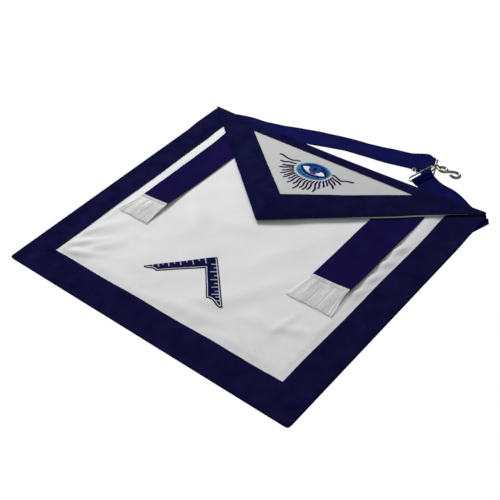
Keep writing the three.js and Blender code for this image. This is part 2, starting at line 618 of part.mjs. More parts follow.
// A strap sewn under the waist at one end, with its other end wrapped round a loop's inner bar.
// Its route is a table of places along the waist and distances beyond it. It sinks nowhere below the
// surface that the apron lies on, and its hem nowhere into the layer below.
function strap(route, loop, widthAt) {
  const innerBar = new THREE.Vector3(0, -LOOP_REACH, 0).applyMatrix4(loop);
  const barDirection = new THREE.Vector3(1, 0, 0).transformDirection(loop);
  const outward = new THREE.Vector3(0, 1, 0).transformDirection(loop);
  const up = new THREE.Vector3(0, 0, 1).transformDirection(loop);
  if (up.z < 0) up.negate();
  const places = route.map((row) => {
    const y = waistMiddle + row.beyond * STRAP_WIDTH;
    return new THREE.Vector3(row.along * HALF_WIDTH, y, row.rise * STRAP_THICK);
  });
  const rolls = route.map((row, i) => ({ t: i / route.length, roll: row.roll }));
  const sleeveStart = innerBar.clone().addScaledVector(up, -SLEEVE_RADIUS);
  const curve = new THREE.CatmullRomCurve3([...places, sleeveStart], false, 'centripetal');
  const run = 30;
  const shares = [...spread(0, 1, run).slice(0, -1), 1 - 0.45 / run, 1];
  const stations = shares.map((t) => {
    const tangent = curve.getTangentAt(t).normalize();
    const flat = new THREE.Vector3(-tangent.y, tangent.x, 0).normalize();
    const across = flat.applyAxisAngle(tangent, degToRad(readTable(rolls, 't', t, 'roll')));
    return { centre: curve.getPointAt(t), across, tangent };
  });
  const end = stations[stations.length - 1];
  const target = barDirection.clone().multiplyScalar(Math.sign(barDirection.dot(end.across)));
  stations.forEach((s, i) => {
    const near = 1 - smoothstep(curve.getLength() * (1 - shares[i]), 0, STRAP_TURN);
    s.across.lerp(target, near).normalize();
    s.normal = new THREE.Vector3().crossVectors(s.tangent, s.across).normalize();
    if (s.normal.z < 0) s.normal.negate();
    s.width = widthAt(shares[i]) * STRAP_WIDTH;
    s.lowest = STRAP_THICK / 2;
  });
  const endWidth = widthAt(1) * STRAP_WIDTH;
  const fold = spread(-90, 90, 8).slice(1).map((turn) => {
    const angle = degToRad(turn);
    const arm = outward.clone().multiplyScalar(Math.cos(angle)).addScaledVector(up, Math.sin(angle));
    const centre = innerBar.clone().addScaledVector(arm, SLEEVE_RADIUS);
    return { centre, across: target, normal: arm.negate(), width: endWidth, lowest: STRAP_THICK / 2 };
  });
  const hemLevel = STRAP_THICK + LAYER_GAP;
  const hem = spread(0, 1, 4).slice(1).map((t) => {
    const back = 1 - (t * STRAP_HEM) / curve.getLength();
    const under = curve.getPointAt(back);
    const lift = lerp(2 * SLEEVE_RADIUS, hemLevel, smoothstep(t, 0, 1));
    const centre = under.addScaledVector(up, lift);
    const lowest = STRAP_THICK / 2 + lift;
    return { centre, across: target, normal: up.clone().negate(), width: endWidth, lowest };
  });
  const all = [...stations, ...fold, ...hem];
  return sheet(spread(0, all.length - 1, all.length - 1), [-0.5, 0.5], (i, c, side) => {
    const s = all[Math.round(i)];
    const p = s.centre.clone().addScaledVector(s.across, c * s.width);
    p.z = Math.max(p.z, s.lowest);
    p.addScaledVector(s.normal, (side - 0.5) * STRAP_THICK);
    return [p.x, p.y, p.z];
  });
}

const REST = 0.5;
const LONG_ROUTE = [
  { along: -0.95, beyond: -0.23, rise: REST, roll: 0 },
  { along: -0.773, beyond: 0.13, rise: REST, roll: 0 },
  { along: -0.58, beyond: 0.25, rise: REST, roll: 0 },
  { along: -0.273, beyond: 0.76, rise: REST, roll: 0 },
  { along: -0.025, beyond: 1.08, rise: REST + 0.2, roll: -1 },
  { along: 0.222, beyond: 1.21, rise: REST + 2.4, roll: -8 },
  { along: 0.36, beyond: 1.41, rise: REST + 1.4, roll: -5 },
  { along: 0.453, beyond: 1.56, rise: REST + 0.4, roll: 0 },
];
const SHORT_ROUTE = [
  { along: 1.013, beyond: -0.63, rise: REST, roll: 0 },
  { along: 0.857, beyond: -0.237, rise: REST, roll: 0 },
  { along: 0.769, beyond: 0.083, rise: REST, roll: 0 },
  { along: 0.633, beyond: 0.427, rise: REST, roll: 0 },
];

// The long strap bunches up just before its loop. The short strap is gathered where it is sewn and
// narrows to its loop.
const STRAP_BUNCH = 0.24;
const STRAP_GATHER = 0.28;
const STRAP_NARROW = 0.15;
const longStrapWidth = (t) => 1 + STRAP_BUNCH * smoothstep(t, 0.9, 0.965) * (1 - smoothstep(t, 0.984, 1));
const shortStrapWidth = (t) => {
  const gathered = STRAP_GATHER * (1 - smoothstep(t, 0, 0.06));
  return 1 - gathered - STRAP_NARROW * smoothstep(t, 0.6, 0.95);
};

// Assembly
const apron = new THREE.Group();
const add = (name, geometry, material) => {
  const mesh = new THREE.Mesh(geometry, material);
  mesh.name = name;
  apron.add(mesh);
  return mesh;
};

add('panel', panel(), white());
const c = CORNERS;
add('border_left', border(c.topLeft, c.footLeft, c.innerTopLeft, c.innerFootLeft), navy());
add('border_right', border(c.topRight, c.footRight, c.innerTopRight, c.innerFootRight), navy());
add('border_bottom', band([c.footLeft, c.footRight], [c.innerFootLeft, c.innerFootRight], {
  rows: [0, 0.5, 1], columns: [0, 1], under: trimUnder, thick: TRIM_THICK, wallFoot: panelUnder,
}), navy());
for (const spec of RIBBONS) {
  add(`ribbon_${spec.name}`, hangingRibbon(spec), navy());
  add(`fringe_${spec.name}`, fringe(spec), white());
}
add('flap_body', flapBody(), white());
add('flap_band_left', flapSideBand([topLeft, flapTip], [flapInner.topLeft, flapInner.tip]), navy());
add('flap_band_right', flapSideBand([topRight, flapTip], [flapInner.topRight, flapInner.tip]), navy());
add('flap_band_waist', flapWaistBand(), navy());
const square = add('square_emblem', embroideredSquare(), navy());
square.position.set(EMBLEM_OFFSET, waistY(0) - SQUARE_BELOW_WAIST, PANEL_THICK + LAYER_GAP);
add('eye_emblem', embroideredEye(), teal());
add('strap_long', strap(LONG_ROUTE, hookLoopMatrix, longStrapWidth), strapNavy());
add('strap_short', strap(SHORT_ROUTE, eyeLoopMatrix, shortStrapWidth), strapNavy());
add('loop_hook', loopGeometry().applyMatrix4(hookLoopMatrix), steel());
add('loop_eye', eyeLoop(), steel());
const hook = add('snake_hook', snakeHook(), steel());
hook.position.copy(hookPlace);
hook.rotation.set(0, hookDrop, degToRad(HOOK_HEADING), 'ZYX');

export default apron;
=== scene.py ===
"""Looks of a ceremonial lodge apron that lies on its back on a pale surface.

Places and lengths in the functions are millimetres, and make_mesh turns them into metres.
+X runs along the waist, +Y towards the waist and +Z out of the apron's face.
"""
import json
import math

import bpy
import numpy as np
from mathutils import Matrix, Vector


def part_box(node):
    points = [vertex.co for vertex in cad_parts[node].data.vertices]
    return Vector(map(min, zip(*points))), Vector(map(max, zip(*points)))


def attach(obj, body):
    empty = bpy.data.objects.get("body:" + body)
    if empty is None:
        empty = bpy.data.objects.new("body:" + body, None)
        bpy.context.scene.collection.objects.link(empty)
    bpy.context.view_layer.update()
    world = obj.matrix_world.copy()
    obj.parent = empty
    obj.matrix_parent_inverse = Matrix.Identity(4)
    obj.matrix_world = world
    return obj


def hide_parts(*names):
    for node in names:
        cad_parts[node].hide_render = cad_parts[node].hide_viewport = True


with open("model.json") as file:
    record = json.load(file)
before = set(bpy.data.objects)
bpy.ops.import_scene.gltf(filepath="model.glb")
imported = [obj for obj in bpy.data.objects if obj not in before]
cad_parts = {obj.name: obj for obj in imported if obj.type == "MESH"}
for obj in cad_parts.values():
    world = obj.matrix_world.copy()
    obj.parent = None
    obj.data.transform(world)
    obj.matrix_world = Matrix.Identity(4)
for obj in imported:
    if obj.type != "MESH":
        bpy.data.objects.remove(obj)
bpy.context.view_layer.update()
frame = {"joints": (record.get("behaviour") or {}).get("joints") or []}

MM = 0.001
rng = np.random.default_rng(7)


def node_box(node):
    low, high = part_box(node)
    return np.array(low) / MM, np.array(high) / MM


def table(columns, *rows):
    """A short table: each row's values by the names of the columns."""
    return [dict(zip(columns.split(), row)) for row in rows]


# Sizes read from the frame
HALF_WIDTH = node_box("flap_body")[1][0]
FOOT_Y = node_box("border_bottom")[0][1]
APRON_HEIGHT = -2 * FOOT_Y
BORDER_WIDTH = node_box("border_bottom")[1][1] - FOOT_Y
FLAP_TIP_Y = node_box("flap_band_left")[0][1]
FRINGE_FOOT_Y = node_box("fringe_left")[0][1]
RIBBON_FOOT_Y = node_box("ribbon_left")[0][1]

# Sizes that the frame does not name, in millimetres and degrees
WAIST_FALL = 10.5
WAIST_SAG = 5.0
SEWN_OFFSET = -1.5
PANEL_THICK = 1.4
PANEL_LOFT = 1.3
PANEL_TUCK = 3.8
PUCKER_HEIGHT = 0.6
FOLD_SCALE = 1.9
TRIM_THICK = 1.0
TRIM_RIM = 1.2
FOLD_RADIUS = 1.15
FOLD_LIP = 3.4
LAYER_GAP = 0.3
FLAP_THICK = 1.0
FLAP_TRIM_GAP = 0.4
FLAP_BAND_WIDTH = 34.5
WAIST_BAND_WIDTH = 17.0
FLAP_BULGE = 8.0
FLAP_TIP_RISE = 2.1
FLAP_NOSE_WIDTH = 3.0
FLAP_EDGE_SHOW = 0.25
FLAP_EDGE_TUCK = 3.2
CORNER_BLUNT = 2.4
RIBBON_WIDTH = 46.0
RIBBON_SPACING = 256.0
RIBBON_START = 5.0
CORNER_LIFT = 6.5
FRINGE_HEAD = 5.0
FRINGE_LOOPS = 30
STRAP_WIDTH = 29.0
STRAP_THICK = 1.0
STRAP_HEM = 7.5
STRAP_TURN = 72.0
LOOP_WIRE = 2.0
LOOP_REACH = 7.0
LOOP_CLEARANCE = 0.5
SLEEVE_GAP = 0.3
SLEEVE_RADIUS = LOOP_WIRE / 2 + SLEEVE_GAP + STRAP_THICK / 2
LOOP_LENGTH = STRAP_WIDTH + 2 * LOOP_CLEARANCE + 2 * LOOP_WIRE
RING_LENGTH = 9.6
RING_HEIGHT = 6.8
RING_WIRE = 2.0
RING_SLACK = 1.75
HOOK_LENGTH = 33.3
HOOK_WIRE = 3.3
EYELET_DIAMETER = 5.4
EYELET_WIRE = 1.6
EYELET_STANDOFF = 6.6
EYELET_TILT = 12.0
EYELET_ALONG = -3.0
CORD_THREAD = 0.27
STITCH_JITTER = 0.15
CLASP_ALONG = 111.3
CLASP_BEYOND = 43.6
LIFT = STRAP_THICK + LAYER_GAP
LIFT_FULL = 1.3 * STRAP_WIDTH
LIFT_START = 2.0 * STRAP_WIDTH

FLAP_RISE = table(
    "share ridge edge",
    (0.0, 0.0, 0.0),
    (0.3, 0.4, 0.45),
    (0.5, 0.78, 0.75),
    (0.72, 1.0, 0.95),
    (0.88, 0.55, 1.0),
    (1.0, 0.0, 1.0),
)

# Soft folds in the white panel: place, heading in degrees, length, width and height
PANEL_FOLDS = table(
    "x y heading length width height",
    (-148, -112, 44, 44, 5, 2.1),
    (-136, -124, 24, 44, 4.5, 1.5),
    (-154, -92, 66, 40, 5, 1.8),
    (-124, -104, 58, 40, 7, 1.3),
    (-140, -78, 74, 44, 8, 1.2),
    (-158, -50, 84, 70, 5, 1.0),
    (-60, -20, -28, 90, 14, 0.9),
    (-80, 5, -36, 80, 11, 0.6),
    (40, -96, 40, 60, 12, 0.9),
    (70, -60, 64, 70, 13, 0.8),
    (104, -90, 20, 50, 9, 0.8),
    (30, -120, 8, 70, 7, 0.7),
    (120, -124, -30, 44, 6, 0.8),
    (122, -82, 84, 30, 4.5, 0.9),
    (132, -84, 30, 34, 4.5, 0.8),
    (157, 70, 62, 26, 4, 1.3),
    (157, 44, 50, 24, 4, 1.1),
    (158, 20, 66, 26, 4, 1.1),
    (155, -8, 48, 28, 5, 0.9),
    (60, 4, 54, 60, 12, 0.6),
    (-20, 6, 12, 60, 9, 0.5),
)


# Small numeric helpers
def smoothstep(value, low, high):
    t = np.clip((value - low) / (high - low), 0, 1)
    return t * t * (3 - 2 * t)


def lerp(a, b, t):
    return a + (b - a) * t


def unit(v):
    return v / np.maximum(np.linalg.norm(v, axis=-1, keepdims=True), 1e-12)


def read_table(rows, key, place, name):
    """A smooth curve through a short table of rows, read at places."""
    xs = np.array([row[key] for row in rows], float)
    ys = np.array([row[name] for row in rows], float)
    slopes = np.empty_like(ys)
    slopes[1:-1] = (ys[2:] - ys[:-2]) / (xs[2:] - xs[:-2])
    slopes[0] = (ys[1] - ys[0]) / (xs[1] - xs[0])
    slopes[-1] = (ys[-1] - ys[-2]) / (xs[-1] - xs[-2])
    place = np.clip(place, xs[0], xs[-1])
    i = np.clip(np.searchsorted(xs, place, side="right") - 1, 0, len(xs) - 2)
    span = xs[i + 1] - xs[i]
    t = (place - xs[i]) / span
    rise = ys[i + 1] - ys[i]
    bend_a = slopes[i] * span - rise
    bend_b = rise - slopes[i + 1] * span
    return lerp(ys[i], ys[i + 1], t) + t * (1 - t) * (bend_a * (1 - t) + bend_b * t)


def marks(length, step, rim=0.0):
    """Distances from 0 to length: about one step apart, and close together near both rims."""
    near = [0.0] if rim == 0 else [0.0, 0.12 * rim, 0.45 * rim, rim]
    count = max(int(round((length - 2 * near[-1]) / step)), 1) + 1
    inner = np.linspace(near[-1], length - near[-1], count)
    return np.unique(np.round(np.concatenate([near, inner, length - np.array(near)]), 6))


def rounded(distance, rim):
    """How thick a rounded rim is at a distance from the edge, as a share of the full thickness."""
    t = np.clip(distance / rim, 0, 1)
    return 0.3 + 0.7 * np.sqrt(np.maximum(1 - (1 - t) ** 2, 0))


WAVES = [
    {
        "heading": rng.uniform(0, 2 * math.pi),
        "length": rng.uniform(34, 120),
        "start": rng.uniform(0, 2 * math.pi),
    }
    for _ in range(14)
]


def undulation(x, y, scale=1.0):
    """Soft waves of cloth with no direction of their own, between about -1 and 1."""
    total = 0
    for wave in WAVES:
        along = x * math.cos(wave["heading"]) + y * math.sin(wave["heading"])
        total = total + np.sin(2 * math.pi * along / (wave["length"] * scale) + wave["start"])
    return total / len(WAVES) * 2


def folds(x, y, rows):
    """Heights of long soft ridges from a table."""
    total = 0
    for row in rows:
        heading = math.radians(row["heading"])
        along = (x - row["x"]) * math.cos(heading) + (y - row["y"]) * math.sin(heading)
        across = -(x - row["x"]) * math.sin(heading) + (y - row["y"]) * math.cos(heading)
        bent = across + 0.15 * row["width"] * np.sin(along / row["length"] * 5)
        fade = 3 * (along / row["length"]) ** 2 + (bent / row["width"]) ** 2
        total = total + row["height"] * np.exp(-fade)
    return total


# Heights of the layers. The straps pass under the waist, which lifts every layer there.
def waist_sag(x):
    return -WAIST_SAG * np.maximum(1 - (x / HALF_WIDTH) ** 2, 0)


def waist_line(x):
    return APRON_HEIGHT / 2 - WAIST_FALL * (x / (2 * HALF_WIDTH) + 0.5)


def waist_y(x):
    return waist_line(x) + waist_sag(x)


def under_waist(x, y):
    return LIFT * smoothstep(y, waist_y(x) - LIFT_START, waist_y(x) - LIFT_FULL)


def panel_relief(x, y):
    """Wrinkles of the white panel, which die out below the border, ribbons and flap."""
    from_side = HALF_WIDTH - BORDER_WIDTH - np.abs(x)
    from_foot = y - FOOT_Y - BORDER_WIDTH
    open_side = smoothstep(from_side, 0, 12)
    open_foot = smoothstep(from_foot, 0, 12)
    open_top = smoothstep(waist_y(x) - y, 60, 100)
    ribbons = 1.0
    for side in (-1, 1):
        centre = SEWN_OFFSET + side * RIBBON_SPACING / 2
        beside = smoothstep(np.abs(x - centre), RIBBON_WIDTH / 2 - 3, RIBBON_WIDTH / 2 + 5)
        below = smoothstep(RIBBON_FOOT_Y + 6 - y, 0, 20)
        ribbons = ribbons * np.maximum(beside, 0.8 * below)
    wide = 0.8 * undulation(x, y) + 0.16 * undulation(y, x, 0.35)
    seam = np.minimum(from_side, from_foot)
    along_seam = np.where(from_side < from_foot, y, x)
    gather = np.sin(along_seam / 3.1 + 1.5 * np.sin(along_seam / 17)) * (0.6 + 0.4 * np.sin(along_seam / 23))
    puckers = PUCKER_HEIGHT * gather * np.exp(-np.maximum(seam, 0) / 9)
    relief = wide * open_foot * open_side + puckers + FOLD_SCALE * folds(x, y, PANEL_FOLDS)
    return relief * open_side**0.3 * ribbons * open_top


def panel_open(x, y):
    """0 under the border and 1 on the open panel."""
    from_side = HALF_WIDTH - BORDER_WIDTH - np.abs(x)
    return smoothstep(from_side, -1, 10) * smoothstep(y - FOOT_Y - BORDER_WIDTH, -1, 10)


def panel_top(x, y):
    loft = np.maximum(panel_relief(x, y) + PANEL_LOFT, 0) * panel_open(x, y)
    return under_waist(x, y) + PANEL_THICK + loft


def trim_under(x, y):
    return under_waist(x, y) + PANEL_THICK + LAYER_GAP


def flap_top(x, y):
    """The flap's upper face: a soft bulge with faint waves, whose edge and tip stand off the panel."""
    share = np.clip((waist_y(x) - y) / (waist_y(SEWN_OFFSET) - FLAP_TIP_Y), 0, 1)
    half = np.maximum(HALF_WIDTH * (1 - share), FLAP_NOSE_WIDTH)
    off_middle = np.abs(x - SEWN_OFFSET * share)
    across = np.minimum(off_middle / half, 1)
    ridge = read_table(FLAP_RISE, "share", share, "ridge") * (1 - across**2)
    rise = FLAP_BULGE * ridge + FLAP_TIP_RISE * read_table(FLAP_RISE, "share", share, "edge")
    inside = smoothstep(half - off_middle, 8, 60) * smoothstep(share, 0.05, 0.3)
    waves = 0.35 * undulation(x + 40, y, 0.7) * inside
    return trim_under(x, y) + TRIM_THICK + LAYER_GAP + rise + FLAP_THICK + waves


def flap_trim_mid(x, y):
    return flap_top(x, y) + FLAP_TRIM_GAP + TRIM_THICK / 2


# Meshes
def make_mesh(name, verts, faces, material, body="root", uv=None):
    mesh = bpy.data.meshes.new(name)
    mesh.from_pydata((verts * MM).tolist(), [], faces if isinstance(faces, list) else faces.tolist())
    if uv is not None:
        layer = mesh.uv_layers.new(name="weave")
        loops = np.empty(len(mesh.loops), np.int32)
        mesh.loops.foreach_get("vertex_index", loops)
        layer.data.foreach_set("uv", uv[loops].ravel())
    mesh.polygons.foreach_set("use_smooth", [True] * len(mesh.polygons))
    mesh.materials.append(material)
    mesh.validate()
    obj = bpy.data.objects.new(name, mesh)
    bpy.context.scene.collection.objects.link(obj)
    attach(obj, body)
    return obj


def grid_faces(rows, cols, start=0, close_cols=False):
    r = np.arange(rows - 1)[:, None]
    c = np.arange(cols if close_cols else cols - 1)[None, :]
    n = (c + 1) % cols
    a = start + r * cols + c
    b = start + r * cols + n
    d = start + (r + 1) * cols + c
    e = start + (r + 1) * cols + n
    return np.stack([a, b, e, d], -1).reshape(-1, 4)


def signed_volume(verts, faces):
    a, b, c, d = (verts[faces[:, k]] for k in range(4))
    return float((a * (np.cross(b, c) + np.cross(c, d))).sum())


def make_sheet(name, mid, half, uv, material, normal=None):
    """A closed sheet round a grid of places mid[row, column], half[row, column] thick each way."""
    rows, cols = mid.shape[:2]
    if normal is None:
        normal = unit(np.cross(np.gradient(mid, axis=1), np.gradient(mid, axis=0)))
    push = normal * half[..., None]
    verts = np.concatenate([(mid + push).reshape(-1, 3), (mid - push).reshape(-1, 3)])
    count = rows * cols
    ring = np.concatenate([
        np.arange(cols),
        np.arange(1, rows) * cols + cols - 1,
        (rows - 1) * cols + np.arange(cols - 2, -1, -1),
        np.arange(rows - 2, 0, -1) * cols,
    ])
    after = np.roll(ring, -1)
    faces = np.concatenate([
        grid_faces(rows, cols)[:, ::-1],
        grid_faces(rows, cols, count),
        np.stack([ring, after, after + count, ring + count], -1),
    ])
    if signed_volume(verts, faces) < 0:
        faces = faces[:, ::-1]
    flat = uv.reshape(-1, 2)
    return make_mesh(name, verts, faces, material, uv=np.concatenate([flat, flat]))


# A thread's end, as a share of its radius in length and in width
DOME = 0.6


def tube_arrays(path, radius, sides, closed, start):
    """Vertices and faces of a round wire or thread along a path, with domed ends unless it closes."""
    path = np.asarray(path, float)
    radius = np.broadcast_to(np.asarray(radius, float), len(path)).copy()
    if closed:
        tangent = unit(np.roll(path, -1, 0) - np.roll(path, 1, 0))
    else:
        tangent = unit(np.gradient(path, axis=0))
        dome = [radius[0] * DOME, radius[-1] * DOME]
        path = np.vstack([path[0] - tangent[0] * dome[0], path, path[-1] + tangent[-1] * dome[1]])
        tangent = np.vstack([tangent[:1], tangent, tangent[-1:]])
        radius = np.concatenate([dome[:1], radius, dome[1:]])
    side = np.cross(tangent, (0.0, 0.0, 1.0))
    steep = np.linalg.norm(side, axis=1) < 0.2
    side[steep] = np.cross(tangent[steep], (0.31, 0.95, 0.0))
    side = unit(side)
    up = np.cross(side, tangent)
    turn = np.arange(sides) / sides * 2 * math.pi
    ring = np.cos(turn)[None, :, None] * side[:, None] + np.sin(turn)[None, :, None] * up[:, None]
    verts = (path[:, None] + ring * radius[:, None, None]).reshape(-1, 3)
    rows = len(path)
    faces = grid_faces(rows, sides, start, close_cols=True)[:, ::-1].tolist()
    if closed:
        last = start + (rows - 1) * sides
        faces += [
            [start + (k + 1) % sides, start + k, last + k, last + (k + 1) % sides]
            for k in range(sides)
        ]
    else:
        faces.append([start + k for k in range(sides)])
        faces.append([start + (rows - 1) * sides + k for k in range(sides - 1, -1, -1)])
    return verts, faces


def make_tubes(name, tubes, material, sides, body="root", closed=False):
    """One mesh of many wires or threads. Each tube is a path and a radius."""
    verts, faces, start = [], [], 0
    for path, radius in tubes:
        v, f = tube_arrays(path, radius, sides, closed, start)
        verts.append(v)
        faces += f
        start += len(v)
    return make_mesh(name, np.vstack(verts), faces, material, body)


def join_into(target, others):
    """Makes other objects' meshes part of the target."""
    bpy.ops.object.select_all(action="DESELECT")
    for obj in [target, *others]:
        obj.select_set(True)
    bpy.context.view_layer.objects.active = target
    bpy.ops.object.join()


# Materials
def nodes_of(name):
    material = bpy.data.materials.new(name)
    material.use_nodes = True
    tree = material.node_tree
    shader = tree.nodes["Principled BSDF"]
    return material, tree, shader


def link(tree, source, target):
    tree.links.new(source, target)


def add_node(tree, kind, **settings):
    node = tree.nodes.new(kind)
    for key, value in settings.items():
        if key.startswith("in_"):
            node.inputs[key[3:].replace("_", " ")].default_value = value
        else:
            setattr(node, key, value)
    return node


def srgb(red, green, blue):
    """A colour given as 8-bit screen values."""
    def linear(v):
        v /= 255
        return v / 12.92 if v <= 0.04045 else ((v + 0.055) / 1.055) ** 2.4
    return (linear(red), linear(green), linear(blue), 1.0)


def noise(tree, vector, scale, detail, roughness):
    node = add_node(tree, "ShaderNodeTexNoise", in_Scale=scale, in_Detail=detail, in_Roughness=roughness)
    link(tree, vector, node.inputs["Vector"])
    return node.outputs["Fac"]


def ramp(tree, fac, stops):
    node = tree.nodes.new("ShaderNodeValToRGB")
    elements = node.color_ramp.elements
    for i, (place, colour) in enumerate(stops):
        element = elements[i] if i < 2 else elements.new(place)
        element.position = place
        element.color = colour
    link(tree, fac, node.inputs["Fac"])
    return node.outputs["Color"]


def remap(tree, value, low, high):
    node = add_node(tree, "ShaderNodeMapRange")
    node.inputs["To Min"].default_value = low
    node.inputs["To Max"].default_value = high
    link(tree, value, node.inputs["Value"])
    return node.outputs["Result"]


def maths(tree, operation, a, b):
    node = add_node(tree, "ShaderNodeMath", operation=operation)
    for socket, value in zip(node.inputs, (a, b)):
        if isinstance(value, (int, float)):
            socket.default_value = value
        else:
            link(tree, value, socket)
    return node.outputs[0]


def weighed(tree, a, share_a, b, share_b):
    return maths(tree, "ADD", maths(tree, "MULTIPLY", a, share_a), maths(tree, "MULTIPLY", b, share_b))


def bump(tree, shader, height, strength, distance, chain=None):
    node = add_node(tree, "ShaderNodeBump", in_Strength=strength, in_Distance=distance)
    link(tree, height, node.inputs["Height"])
    if chain is not None:
        link(tree, chain, node.inputs["Normal"])
    link(tree, node.outputs["Normal"], shader.inputs["Normal"])
    return node.outputs["Normal"]


def weave_waves(tree, along_mm, across_mm, vector):
    """Two crossed sets of fine threads, along and across the cloth."""
    found = []
    for direction, pitch in (("X", along_mm), ("Y", across_mm)):
        wave = add_node(tree, "ShaderNodeTexWave", wave_type="BANDS", bands_direction=direction)
        wave.inputs["Scale"].default_value = 0.314 / (pitch * MM)
        wave.inputs["Distortion"].default_value = 0.4
        wave.inputs["Detail"].default_value = 1.0
        wave.inputs["Detail Scale"].default_value = 1.5
        link(tree, vector, wave.inputs["Vector"])
        found.append(wave.outputs["Fac"])
    return found


def cloth_material(name, low, high, weave, rough, gloss, blotch, weave_depth=0.00012,
                   lint=0.25, crush=0.0, dark_edge=0.0):
    """Woven cloth: crossed threads, soft blotches of colour and, if asked for, darker long edges."""
    material, tree, shader = nodes_of(name)
    flat = add_node(tree, "ShaderNodeUVMap", uv_map="weave").outputs["UV"]
    solid = add_node(tree, "ShaderNodeTexCoord").outputs["Object"]
    warp, weft = weave_waves(tree, weave[0], weave[1], flat)
    threads = maths(tree, "MULTIPLY", warp, weft)
    patches = noise(tree, solid, blotch, detail=5.0, roughness=0.62)
    grain = noise(tree, solid, 900.0, detail=2.0, roughness=0.6)
    mixed = weighed(tree, patches, 1 - lint, grain, lint)
    shade = weighed(tree, mixed, 0.85, threads, 0.3)
    if dark_edge:
        across = add_node(tree, "ShaderNodeSeparateXYZ")
        link(tree, flat, across.inputs["Vector"])
        from_middle = maths(tree, "ABSOLUTE", across.outputs["Y"], 0.0)
        rim = maths(tree, "POWER", maths(tree, "DIVIDE", from_middle, STRAP_WIDTH / 2 * MM), 8.0)
        shade = maths(tree, "SUBTRACT", shade, maths(tree, "MULTIPLY", rim, dark_edge))
    link(tree, ramp(tree, shade, [(0.25, low), (0.85, high)]), shader.inputs["Base Color"])
    link(tree, remap(tree, patches, rough - 0.08, rough + 0.08), shader.inputs["Roughness"])
    shader.inputs["Specular IOR Level"].default_value = gloss
    fine = bump(tree, shader, maths(tree, "ADD", warp, weft), strength=0.35, distance=weave_depth)
    if crush:
        soft = noise(tree, solid, 160.0, detail=3.0, roughness=0.55)
        bump(tree, shader, soft, strength=0.5, distance=crush, chain=fine)
    return material


def thread_material(name, low, high, rough, twist=1400.0, gloss=0.15, streak=1.0):
    """Thread or fringe: fine twisted fibres with a soft shine. A streak under 1 draws them out along Y into
    long light and dark streaks, which on the fringe are partly fibres and partly painted shade in the gaps
    between strands.
    """
    material, tree, shader = nodes_of(name)
    solid = add_node(tree, "ShaderNodeTexCoord").outputs["Object"]
    if streak != 1.0:
        drawn = add_node(tree, "ShaderNodeMapping", in_Scale=(1.0, streak, 1.0))
        link(tree, solid, drawn.inputs["Vector"])
        solid = drawn.outputs["Vector"]
    # When drawn out into streaks, these are partly fibres and partly painted shade between strands
    fibres = noise(tree, solid, twist, detail=3.0, roughness=0.6)
    patches = noise(tree, solid, 120.0, detail=3.0, roughness=0.5)
    shade = weighed(tree, fibres, 0.5, patches, 0.5)
    link(tree, ramp(tree, shade, [(0.3, low), (0.7, high)]), shader.inputs["Base Color"])
    link(tree, remap(tree, fibres, rough - 0.1, rough + 0.1), shader.inputs["Roughness"])
    shader.inputs["Specular IOR Level"].default_value = gloss
    bump(tree, shader, fibres, strength=0.4, distance=0.0001)
    return material


def metal_material():
    """Nickel-plated wire with faint drawn scratches and dull patches."""
    material, tree, shader = nodes_of("nickel_wire")
    solid = add_node(tree, "ShaderNodeTexCoord").outputs["Object"]
    patches = noise(tree, solid, 260.0, detail=4.0, roughness=0.6)
    scratches = noise(tree, solid, 2600.0, detail=2.0, roughness=0.7)
    colour = ramp(tree, patches, [(0.3, srgb(72, 72, 72)), (0.75, srgb(128, 128, 127))])
    link(tree, colour, shader.inputs["Base Color"])
    shader.inputs["Metallic"].default_value = 1.0
    link(tree, remap(tree, patches, 0.14, 0.27), shader.inputs["Roughness"])
    bump(tree, shader, scratches, strength=0.15, distance=0.00003)
    return material


WHITE = cloth_material(
    "white_satin_cloth", srgb(168, 168, 169), srgb(184, 184, 185), (0.55, 0.45), 0.6, gloss=0.2, blotch=16.0,
    lint=0.18, crush=0.0002,
)
# The flap's copy of the panel's white cloth, coloured a darker grey: painted shade on the flap
FLAP_WHITE_PAINTED_SHADE = cloth_material(
    "white_flap_cloth_painted_shade", srgb(144, 144, 144), srgb(157, 157, 157), (0.55, 0.45), 0.6, gloss=0.15, blotch=16.0,
    lint=0.18, crush=0.0002,
)
NAVY = cloth_material(
    "navy_ribbon_cloth", srgb(6, 6, 28), srgb(22, 21, 58), (0.6, 0.5), 0.8, gloss=0.0, blotch=60.0,
    crush=0.0005,
)
RIBBON_NAVY = cloth_material(
    "navy_hanging_cloth", srgb(12, 8, 40), srgb(22, 16, 60), (0.6, 0.5), 0.8, gloss=0.0, blotch=34.0,
)
STRAP_NAVY = cloth_material(
    "navy_strap_cloth", srgb(3, 4, 38), srgb(14, 16, 76), (0.9, 0.5), 0.7, gloss=0.01, blotch=90.0,
    weave_depth=0.0002, crush=0.0006, dark_edge=0.35,
)
NAVY_THREAD = thread_material("navy_thread", srgb(2, 1, 34), srgb(11, 8, 68), 0.6, gloss=0.02)
TEAL_THREAD = thread_material("teal_thread", srgb(20, 84, 126), srgb(40, 116, 162), 0.6, gloss=0.03)
BLUE_THREAD = thread_material("blue_thread", srgb(14, 44, 104), srgb(26, 78, 140), 0.6, gloss=0.03)
DEEP_BLUE_THREAD = thread_material("deep_blue_thread", srgb(8, 20, 74), srgb(20, 46, 112), 0.6, gloss=0.03)
WHITE_THREAD = thread_material("white_thread", srgb(176, 176, 175), srgb(212, 212, 210), 0.5)
# The fringe's long dark streaks are partly fibres and partly painted shade in the gaps between strands
FRINGE_THREAD = thread_material("fringe_thread", srgb(172, 172, 172), srgb(236, 236, 235), 0.6, twist=2200.0,
                                streak=0.08)
ROSE_THREAD = thread_material("rose_grey_thread", srgb(128, 104, 120), srgb(158, 134, 146), 0.5)
LAVENDER_THREAD = thread_material("lavender_thread", srgb(136, 136, 150), srgb(186, 186, 196), 0.5)
NICKEL = metal_material()


# Cloth pieces
def surface(x, y, z):
    return np.stack([x, y, np.broadcast_to(z, x.shape)], -1)


